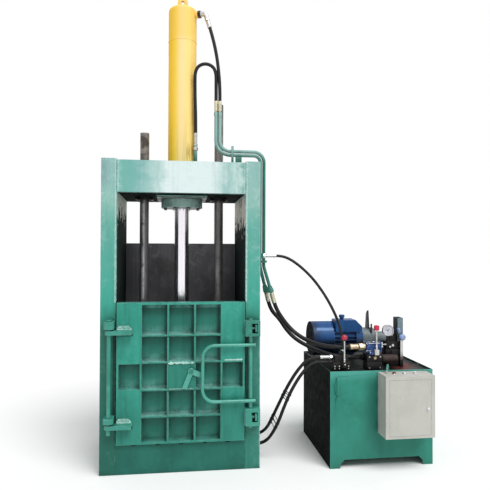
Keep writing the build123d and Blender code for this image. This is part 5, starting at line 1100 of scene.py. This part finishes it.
# Crusted rows over each hinge arm: ends, depth, heights above its foot, lean, width, seed, roughness
CRUST_ROWS = [
    (-0.484, -0.372, DOOR_FACE, 0.033, 0.033, (0, -1, 0.7), 0.022, 61, 0.34),
    (-0.480, -0.376, -0.4420, 0.032, 0.032, (0, -0.5, 1), 0.015, 66, 0.40),
    (-0.482, -0.380, DOOR_FACE, 0.045, 0.044, (0, -1, 0.3), 0.014, 68, 0.44),
    (-0.474, -0.392, DOOR_FACE, 0.056, 0.054, (0, -1, 0.3), 0.011, 69, 0.44),
]


def make_hinge_welds():
    """Crusted beads that hold the hinge arms and the lock brackets to the door's plates."""
    form = Form(CRUST)
    for low in HINGE_ROWS:
        form.use(CRUST)
        for x0, x1, y, z0, z1, out, width, seed, rough in CRUST_ROWS:
            form.seam((x0, y, low + z0), (x1, y, low + z1), out, width, seed, rough)
        form.use(BEAD)
        form.seam(
            (-0.370, DOOR_FACE, low + 0.003), (-0.370, DOOR_FACE, low + 0.028), (0.9, -1, 0), 0.009, 63, 0.15
        )
    # the centre plate that carries the pawl
    low, top = DOOR_ROWS[1], DOOR_ROWS[2]
    form.use(CRUST)
    form.seam((-0.100, -0.4315, top - 0.004), (0.098, -0.4315, top - 0.004), (0, -1, 0.6), 0.021, 64, 0.36)
    form.seam((0.330, -0.4315, top + 0.010), (0.470, -0.4315, top + 0.012), (0, -1, 0.6), 0.014, 67, 0.36)
    form.use(BEAD)
    form.seam((-0.098, -0.4310, low + 0.006), (0.096, -0.4310, low + 0.006), (0, -1, -0.6), 0.008, 65, 0.15)
    for low, high in ((0.353, 0.485), (1.039, 1.160)):
        form.seam((0.4865, -0.4310, low), (0.4865, -0.4310, high), (-1, -1, 0), 0.009, int(low * 100), 0.15)
    form.piece("door_welds", "door", "press_green")


def make_port_pipes():
    """The plated elbow on the cylinder's cap, with its nut, and the riser through the beam."""
    form = Form(RUST_BROWN)
    way = Vector((0.9135, -0.4067, 0))
    port = Vector((0, 0, CAP_TOP - 0.060))
    form.hexagon(port + way * 0.141, way, 0.026, 0.052)
    form.use(ZINC)
    down = Vector((0.278, -0.124, -0.952)).normalized()
    turn = port + way * 0.206
    bend = 0.030
    path = [port + way * 0.150, port + way * 0.168]
    path += eased(turn - way * bend, turn, turn + down * bend)
    path.append(port + way * 0.222 - Vector((0, 0, 0.050)))
    form.bar(path, 0.0195, 24)
    form.rod(port + way * 0.166, way, 0.008, 0.0235)
    form.use(PIPE_GREEN)
    away = Vector((0.740, -0.673, 0))
    foot = Vector((0, 0, 2.240))
    corner = foot + away * 0.1487
    path = [foot + away * 0.112]
    path += eased(corner - away * 0.018, corner, corner + Vector((0, 0, 0.018)))
    path.append(Vector((RISER_X, RISER_Y, 2.570)))
    form.bar(path, 0.0148, 20)
    form.rod((RISER_X, RISER_Y, BEAM_TOP - 0.001), UP, 0.005, 0.023)
    form.use(ZINC)
    form.hexagon((RISER_X, RISER_Y, 2.532), UP, 0.026, 0.036)
    form.piece("port_pipes", "machine", "cylinder_yellow", ["cylinder_ports"])


make_frame_welds()
make_cylinder_welds()
make_hinge_welds()
make_port_pipes()

# Power pack


def left_valve(form):
    """The low block of the ejector valve, with its cover, plugs, screws and lever fork."""
    form.use(BLACK)
    form.block((1.198, -0.408, LID_Z), (1.342, -0.354, 0.812), 0.003)
    form.block((1.214, -0.406, 0.810), (1.326, -0.356, 0.866), 0.004)
    form.block((1.206, -0.409, 0.790), (1.334, -0.353, 0.800), 0.0015)
    form.block((1.262, -0.386, 0.862), (1.312, -0.356, 0.888), 0.003)
    form.hexagon((1.289, -0.365, 0.886), UP, 0.006, 0.030)
    for x in (1.212, 1.328):
        form.rod((x, -0.380, 0.848), (math.copysign(1, x - 1.27), 0, 0), 0.014, 0.015, 0.002, 18)
        form.hexagon(
            (x + math.copysign(0.012, x - 1.27), -0.380, 0.848), (math.copysign(1, x - 1.27), 0, 0),
            0.005, 0.018,
        )
    form.use(ZINC)
    for x in (1.214, 1.250, 1.326):
        for z in (0.760, 0.778):
            form.screw((x, -0.408, z), 0.0055, 0.003)
    form.use(BLACK)
    # fork of the lever
    form.block((1.264, -0.420, 0.776), (1.302, -0.404, 0.826), 0.003)
    for y in (-0.4500, -0.4275):
        form.block((1.268, y, 0.779), (1.298, y + 0.0055, 0.817), 0.0015)
    form.block((1.268, -0.4500, 0.776), (1.298, -0.410, 0.7815), 0.0015)
    form.use(ZINC)
    form.rod((1.283, -0.4530, 0.800), BACK, 0.034, 0.004, 0.0008, 14)
    form.hexagon((1.283, -0.4535, 0.800), BACK, 0.0035, 0.011)


def right_valve(form):
    """The main valve's sub-plate: two stacked blocks with screws."""
    form.use(BLACK)
    form.block((1.480, -0.418, LID_Z), (1.602, -0.310, 0.806), 0.003)
    form.block((1.484, -0.414, 0.806), (1.598, -0.314, 0.812), 0.001)
    form.block((1.478, -0.420, 0.812), (1.604, -0.308, 0.872), 0.003)
    form.use(ZINC)
    for x in (1.496, 1.586):
        for z in (0.762, 0.850):
            form.screw((x, -0.4185, z), 0.007, 0.004, 0.0055)
    form.use(BRASS)
    form.hexagon((1.541, -0.4195, 0.842), FRONT, 0.008, 0.024)
    form.rod((1.541, -0.4275, 0.842), FRONT, 0.003, 0.008)


def make_valve_blocks():
    """Both valve blocks as one piece, as in the CAD part."""
    form = Form(BLACK)
    left_valve(form)
    right_valve(form)
    form.piece("valve_stack", "machine", "valve_black", ["valve_blocks"])


def make_blue_valve():
    """The blue hand valve: a cored casting with bolted end caps, spool boss and lever fork."""
    form = Form(VALVE_BLUE)
    y, z = -0.400, 0.930
    form.turned(
        (1.482, y, z), RIGHT,
        [
            (0, 0.030), (0.003, 0.034), (0.022, 0.034), (0.028, 0.029), (0.066, 0.029), (0.074, 0.034),
            (0.094, 0.034), (0.097, 0.030),
        ],
        32,
    )
    form.block((1.500, -0.436, 0.872), (1.562, -0.364, 0.938), 0.008)
    form.block((1.488, -0.440, 0.872), (1.574, -0.360, 0.886), 0.003)
    for x in (1.469, 1.579):
        form.block((x, y - 0.040, z - 0.040), (x + 0.014, y + 0.040, z + 0.040), 0.005)
    form.turned(
        (1.532, y - 0.010, z + 0.020), UP, [(0, 0.022), (0.014, 0.021), (0.018, 0.017), (0.021, 0.015)],
        24,
    )
    form.use(ZINC)
    form.hexagon((1.532, y - 0.010, z + 0.036), UP, 0.006, 0.018)
    for dy in (-0.029, 0.029):
        for dz in (-0.029, 0.029):
            form.hexagon((1.4745, y + dy, z + dz), LEFT, 0.008, 0.013)
            form.hexagon((1.5865, y + dy, z + dz), RIGHT, 0.007, 0.013)
            form.rod((1.480, y + dy, z + dz), RIGHT, 0.100, 0.004, steps=10)
    for x in (1.498, 1.564):
        for dy in (-0.030, 0.030):
            form.hexagon((x, y + dy, 0.885), UP, 0.007, 0.012)
    # fork of the lever, with its pin
    form.block((1.524, -0.4700, 0.876), (1.558, -0.4645, 0.916), 0.0015)
    form.block((1.524, -0.4475, 0.876), (1.558, -0.4420, 0.916), 0.0015)
    form.block((1.524, -0.4700, 0.872), (1.558, -0.430, 0.8790), 0.0015)
    form.rod((1.541, -0.4735, 0.900), BACK, 0.036, 0.004, 0.0008, 14)
    form.hexagon((1.541, -0.4740, 0.900), BACK, 0.0035, 0.012)
    form.piece("hand_valve", "machine", "valve_blue", ["valve_body"])


def lever(pivot, stem, nut_up, nut_l, nut_w):
    """A plated lever rod in its clevis boss, with the lock nut at its foot."""
    form = Form(ZINC)
    form.rod(pivot + Vector((0, -0.0078, 0)), BACK, 0.0156, 0.0098, 0.001, 24)
    form.turned(pivot + Vector((0, 0, 0.006)), UP, stem, 16)
    form.hexagon(pivot + Vector((0, 0, nut_up)), UP, nut_l, nut_w)
    return form.use(RED)


def make_levers():
    """The two hand levers, one with a ball and one with a flat knob."""
    stem = [(0, 0.0075), (0.026, 0.0075), (0.030, 0.0065), (0.176, 0.0058), (0.192, 0.0058)]
    left = lever(LEFT_PIVOT, stem, 0.030, 0.009, 0.016)
    turns = [math.pi * i / 16 for i in range(17)]
    ball = [(BALL_R - BALL_R * math.cos(a), BALL_R * math.sin(a)) for a in turns]
    left.turned(LEFT_PIVOT + Vector((0, 0, 0.187)), UP, ball, 32)
    left.use(BLACK)
    left.turned(LEFT_PIVOT + Vector((0, 0, 0.184)), UP, [(0, 0.008), (0.006, 0.010), (0.008, 0.008)], 20)
    left.piece("ejector_lever", "left_lever", "lever_red", ["lever_left"])
    stem = [(0, 0.0078), (0.028, 0.0078), (0.032, 0.0062), (0.171, 0.0062)]
    right = lever(RIGHT_PIVOT, stem, 0.034, 0.010, 0.017)
    right.turned(RIGHT_PIVOT + Vector((0, 0, 0.167)), UP, [
        (0, 0.017), (0.002, 0.020), (0.006, 0.0215), (0.034, 0.0215), (0.038, 0.0200), (0.041, 0.015),
        (0.0415, 0),
    ], 32)
    right.piece("press_lever", "right_lever", "lever_red", ["lever_right"])


def make_gauge():
    """The pressure gauge: cased dial with a ticked scale, its glass, and the union it stands on."""
    x, z = GAUGE_X, GAUGE_Z
    form = Form(BLACK)
    form.turned((x, -0.301, z), FRONT, [(0, 0.040), (0.001, 0.0430), (0.024, 0.0434)], 48)
    form.use(ZINC)
    form.turned((x, -0.322, z), FRONT, [
        (0, 0.0434), (0.002, 0.0466), (0.011, 0.0470), (0.013, 0.0455), (0.013, 0.0410), (0.0075, 0.0405),
        (0.0075, 0),
    ], 48)
    form.use(BLACK)
    form.turned((x, -0.301, z), BACK, [(-0.001, 0.032), (0.004, 0.030), (0.010, 0.017), (0.028, 0.014)], 24)
    form.block((x + 0.001, -0.296, z - 0.020), (x + 0.028, -0.263, z + 0.006), 0.002)
    form.rod((x + 0.015, -0.284, 0.950), UP, 0.084, 0.0105)
    form.hexagon((x + 0.015, -0.284, 0.952), UP, 0.018, 0.028)
    form.hexagon((x + 0.015, -0.284, 0.984), UP, 0.014, 0.024)
    form.use(WHITE)
    form.turned((x, -0.3288, z), FRONT, [(0, 0.0403), (0.0008, 0.0403), (0.0008, 0)], 48)
    form.use(BLACK)
    for i in range(31):
        a = math.radians(225 - 270 * i / 30)
        long = i % 5 == 0
        arm = Vector((math.cos(a), 0, math.sin(a)))
        middle = Vector((x, -0.3298, z)) + arm * (0.0345 if long else 0.0360)
        half = Vector((0.0007 if long else 0.0004, 0.0002, 0.0030 if long else 0.0017))
        form.block(middle - half, middle + half, 0, Matrix.Rotation(math.pi / 2 - a, 4, "Y"))
    form.piece("gauge_case", "machine", "gauge_white", ["gauge_body"])
    glass = Form(GLASS)
    glass.turned((x, -0.3322, z), FRONT, [(0, 0.0408), (0.0012, 0.0408), (0.0012, 0)], 48)
    glass.piece("gauge_glass_disc", "machine", "gauge_white")


def make_needle():
    """The gauge's pointer, with its hub and tail."""
    form = Form(BLACK)
    x, z, y = GAUGE_X, GAUGE_Z, -0.3308
    a = math.radians(50)
    arm, side = Vector((math.cos(a), 0, math.sin(a))), Vector((-math.sin(a), 0, math.cos(a)))
    hub = Vector((x, y, z))
    outline = [
        (-0.012, 0.0016), (-0.012, -0.0016), (0.004, -0.0014), (0.029, -0.0003), (0.029, 0.0003),
        (0.004, 0.0014),
    ]
    rings = [
        [hub + arm * along + side * across + Vector((0, depth, 0)) for along, across in outline]
        for depth in (-0.0004, 0.0004)
    ]
    form.rings(rings)
    form.turned(
        (x, y + 0.0008, z), FRONT, [(0, 0.0035), (0.0018, 0.0035), (0.0022, 0.0025), (0.0022, 0)], 20,
    )
    form.piece("gauge_pointer", "needle", "needle_black", ["gauge_needle"])


def make_manifold():
    """The relief and return manifold: drilled block, plugs, relief housing and the rusty filter."""
    form = Form(BLACK)
    form.block((1.686, -0.298, LID_Z), (1.830, -0.206, 0.826), 0.003)
    form.block((1.684, -0.300, 0.828), (1.832, -0.204, 0.886), 0.003)
    form.block((1.690, -0.296, 0.888), (1.828, -0.208, 0.950), 0.003)
    form.rod((RELIEF_X, -0.300, RELIEF_Z), FRONT, 0.022, 0.0215, steps=28)
    form.use(ZINC)
    form.block((RELIEF_X - 0.013, -0.322, 0.800), (RELIEF_X + 0.013, -0.300, RELIEF_Z), 0.004)
    form.use(BLACK)
    form.block((RELIEF_X - 0.013, -0.322, LID_Z), (RELIEF_X + 0.013, -0.300, 0.804), 0.004)
    for x in (1.700, 1.786):
        for z in (0.764, 0.808, 0.930):
            form.screw((x, -0.2975, z), 0.006, 0.0035)
    form.use(ZINC)
    form.hexagon((1.742, -0.2955, 0.918), FRONT, 0.010, 0.020)
    form.bar(
        [
            (1.598, -0.322, 0.872), (1.606, -0.318, 0.905), (1.622, -0.314, 0.922),
            (1.650, -0.306, 0.926), (1.690, -0.290, 0.922),
        ],
        0.0065, 14,
    )
    form.hexagon((1.672, -0.297, 0.924), (1, 0.35, -0.04), 0.014, 0.020)
    form.hexagon((1.716, -0.2955, 0.908), FRONT, 0.016, 0.015)
    form.rod((1.752, -0.256, 0.990), UP, 0.030, 0.014)
    form.hexagon((1.752, -0.256, 1.006), UP, 0.012, 0.036)
    form.use(BLACK)
    form.block((1.722, -0.285, 0.946), (1.785, -0.226, 0.992), 0.004)
    form.use(CAP_BLUE)
    form.block((1.777, -0.328, 1.022), (1.798, -0.299, 1.064), 0.005)
    form.rod((1.7875, -0.327, 1.043), FRONT, 0.010, 0.0075)
    form.use(BLACK)
    form.hexagon((1.742, -0.2995, 0.866), FRONT, 0.012, 0.030)
    form.use(RUST_BROWN)
    y, z = -0.384, 0.828
    form.turned((1.607, y, z), RIGHT, [
        (0, 0.012), (0.002, 0.020), (0.006, 0.029), (0.012, 0.0325), (0.030, 0.0330), (0.032, 0.0315),
        (0.038, 0.0315),
        (0.040, 0.0330), (0.096, 0.0330), (0.098, 0.0318), (0.104, 0.0318), (0.106, 0.0330),
        (0.124, 0.0328), (0.132, 0.029), (0.132, 0.012),
    ], 40)
    form.block((1.712, -0.356, 0.812), (1.738, -0.298, 0.844), 0.004)
    form.use(ZINC)
    form.hexagon((1.613, y, z), LEFT, 0.006, 0.020)
    form.piece("manifold_stack", "machine", "valve_black", ["manifold_block"])


def make_relief_cap():
    """The relief valve's light blue cap with a small T handle."""
    form = Form(CAP_BLUE)
    front = -0.3245
    form.turned((RELIEF_X, front, RELIEF_Z), FRONT, [
        (0, 0.0245), (0.002, 0.0270), (0.010, 0.0270), (0.016, 0.0258), (0.0215, 0.0215),
        (0.0255, 0.0140), (0.0270, 0),
    ], 40)
    for i in range(12):
        a = math.tau * i / 12
        spot = (RELIEF_X + 0.0262 * math.cos(a), front - 0.001, RELIEF_Z + 0.0262 * math.sin(a))
        form.rod(spot, FRONT, 0.009, 0.0012, 0.0003, 8)
    form.piece("relief_cap", "relief", "fitting_zinc", ["relief_knob"])


def make_conduit():
    """The ribbed plastic conduit that loops from the cabinet to the tank's lid, with its gland nuts."""
    form = Form(PIPE_GREEN)
    a, b = Vector((1.592, -0.533, 0.744)), Vector((1.636, -0.454, LID_Z))
    bends = (
        a + Vector((0, 0, 0.010)), a + Vector((0.004, 0, 0.042)),
        b + Vector((-0.004, -0.008, 0.084)), b + Vector((0, 0, 0.012)),
    )
    path = [a]
    for i in range(41):
        t = i / 40
        path.append(
            bends[0] * (1 - t) ** 3 + bends[1] * 3 * t * (1 - t) ** 2
            + bends[2] * 3 * t * t * (1 - t) + bends[3] * t ** 3
        )
    path.append(b)
    fine = []
    for p, q in zip(path, path[1:]):
        count = max(1, round((q - p).length / 0.0013))
        fine += [p.lerp(q, i / count) for i in range(count)]
    fine.append(path[-1])
    swell = [1.0 if i % 4 < 2 else 0.84 for i in range(len(fine))]
    form.bar(fine, 0.0082, 14, swell)
    form.use(CREAM)
    form.hexagon((a.x, a.y, 0.744), UP, 0.010, 0.024)
    form.rod((a.x, a.y, 0.754), UP, 0.008, 0.0105)
    form.use(BLACK)
    form.hexagon((b.x, b.y, LID_Z), UP, 0.012, 0.024)
    form.piece("ribbed_conduit", "machine", "conduit_green", ["cabinet_conduit"])


def make_buttons():
    """Collars round the cabinet's push buttons."""
    form = Form(ZINC)
    for x in (1.640, 1.724, 1.812):
        form.turned(
            (x, -0.5645, 0.744), UP,
            [(0, 0.0165), (0.003, 0.0165), (0.0045, 0.0155), (0.0045, 0.0128), (0, 0.0128)], 36,
        )
    form.piece("button_collars", "machine", "fitting_zinc")


def make_lid_bolts():
    """Bolts round the tank's lid, and the motor's lifting eye."""
    form = Form(BOLT_STEEL)
    for x in (1.175, 1.380, 1.660, 1.975):
        for y in (-0.470, 0.364):
            form.hexagon((x, y, LID_Z), UP, 0.007, 0.014)
            form.rod((x, y, LID_Z), UP, 0.002, 0.010)
    for y in (-0.26, -0.05, 0.16):
        form.hexagon((1.978, y, LID_Z), UP, 0.007, 0.014)
    form.piece("lid_bolts", "machine", "bolt_steel")


make_valve_blocks()
make_blue_valve()
make_levers()
make_gauge()
make_needle()
make_manifold()
make_relief_cap()
make_conduit()
make_buttons()
make_lid_bolts()

# CAD nodes in their finishes

FINISHES = {
    FRAME_GREEN: ["side_frame_left", "side_frame_right", "top_beam"],
    BASE_GREEN: ["base_panel", "floor_bearers"],
    DOOR_GREEN: ["door_panel"],
    TRIM_GREEN: ["hinge_arms", "hinge_blocks", "lock_brackets", "keeper_lugs"],
    HANDLE_GREEN: ["lock_handle", "latch_pawl"],
    GLAND_GREEN: ["cylinder_gland"],
    PLATE_DARK: ["cylinder_mount_plate"],
    BLACK: ["guide_bushes"],
    PIPE_GREEN: ["ram_pipes", "pipe_clamps", "ejector_pipes"],
    TANK_GREEN: ["tank_shell"],
    LID_DARK: ["tank_lid"],
    YELLOW: ["cylinder_barrel", "cylinder_cap", "ejector_cylinder"],
    WALL_STEEL: ["back_wall"],
    GRIMY_STEEL: ["chamber_floor", "platen", "ejector_pusher", "motor_rotor"],
    CHROME: ["piston_rod", "cabinet_lock"],
    GUIDE_STEEL: ["guide_rods"],
    BOLT_STEEL: ["mount_bolts"],
    MOTOR_BLUE: ["motor_body", "terminal_box", "motor_cowl"],
    CASTING_GREY: ["pump_unit"],
    POST_SLATE: ["filter_post"],
    CREAM: ["cabinet_box", "cabinet_door"],
    STOP_RED: ["stop_button"],
    WHITE: ["start_button", "reset_button"],
}
# Plates whose long edges show: how far each edge is rounded
ROUNDED = {
    "side_frame_left": 0.003, "side_frame_right": 0.003, "top_beam": 0.003, "base_panel": 0.002,
    "door_panel": 0.002, "hinge_arms": 0.002, "hinge_blocks": 0.002, "lock_brackets": 0.002,
    "latch_pawl": 0.002, "tank_shell": 0.0015, "cabinet_box": 0.0015, "cabinet_door": 0.0012,
    "back_wall": 0.002, "cylinder_mount_plate": 0.002, "terminal_box": 0.003,
}


def second_finish(name, finish, chosen):
    """Gives some of a node's faces another finish, where the test on their centre and normal holds."""
    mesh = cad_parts[name].data
    mesh.materials.append(finish)
    for face in mesh.polygons:
        if chosen(face.center, face.normal):
            face.material_index = 1


def dress_nodes():
    """Gives every CAD node its finish, and the plates' edges a small round."""
    for finish, names in FINISHES.items():
        for name in names:
            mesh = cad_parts[name].data
            mesh.materials.clear()
            mesh.materials.append(finish)
            mesh.polygons.foreach_set("material_index", [0] * len(mesh.polygons))

    def wall(centre, normal):
        return abs(normal.x) > 0.9 and abs(abs(centre.x) - OPEN_X) < 0.001

    def under(centre, normal):
        return normal.z < -0.9 and centre.z < BEAM_LOW + 0.001

    second_finish("tank_shell", TANK_SIDE, lambda centre, normal: centre.x < TANK_X[0] + 0.001)
    second_finish("motor_cowl", TANK_SIDE, lambda centre, normal: centre.x < 1.158 and normal.x < -0.7)
    second_finish("side_frame_left", CHUTE, wall)
    second_finish("side_frame_right", CHUTE, wall)
    second_finish("top_beam", CHUTE, lambda centre, normal: wall(centre, normal) or under(centre, normal))
    for name, width in ROUNDED.items():
        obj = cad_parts[name]
        weld = obj.modifiers.new("weld", "WELD")
        weld.merge_threshold = 0.00002
        bevel = obj.modifiers.new("round", "BEVEL")
        bevel.width = width
        bevel.segments = 2
        bevel.limit_method = "ANGLE"
        bevel.angle_limit = math.radians(50)
        bevel.harden_normals = True


dress_nodes()

# Floor, light and sky


def make_stage():
    """A plain pale floor."""
    bm = bmesh.new()
    bmesh.ops.create_grid(bm, x_segments=1, y_segments=1, size=60)
    mesh = bpy.data.meshes.new("floor")
    bm.to_mesh(mesh)
    bm.free()
    floor = bpy.data.objects.new("floor", mesh)
    scene.collection.objects.link(floor)
    floor.location.z = -0.0005
    mat = bpy.data.materials.new("floor_white")
    mat.use_nodes = True
    shader = mat.node_tree.nodes["Principled BSDF"]
    shader.inputs["Base Color"].default_value = (0.93, 0.93, 0.93, 1)
    shader.inputs["Roughness"].default_value = 0.9
    shader.inputs["Specular IOR Level"].default_value = 0.0
    mesh.materials.append(mat)


SKY = 0.45
SUN = 2.55


def make_light():
    """One soft sun from the front, above and to the right, under an even sky."""
    data = bpy.data.lights.new("sun", "SUN")
    data.energy = SUN
    data.angle = math.radians(38)
    sun = bpy.data.objects.new("sun", data)
    sun.rotation_euler = (math.radians(32), 0, math.radians(24))
    scene.collection.objects.link(sun)
    world = bpy.data.worlds.new("sky")
    scene.world = world
    world.use_nodes = True
    g = Graph(world.node_tree)
    rays = g.node("LightPath").outputs
    seen = g.either(rays["Is Camera Ray"], g.either(rays["Is Glossy Ray"], rays["Is Transmission Ray"]))
    back = world.node_tree.nodes["Background"]
    back.inputs["Color"].default_value = (1, 1, 1, 1)
    g.put(back.inputs["Strength"], g.step(seen, 0.0, 1.0, SKY, 1.0))


make_stage()
make_light()
scene.view_settings.view_transform = "Standard"
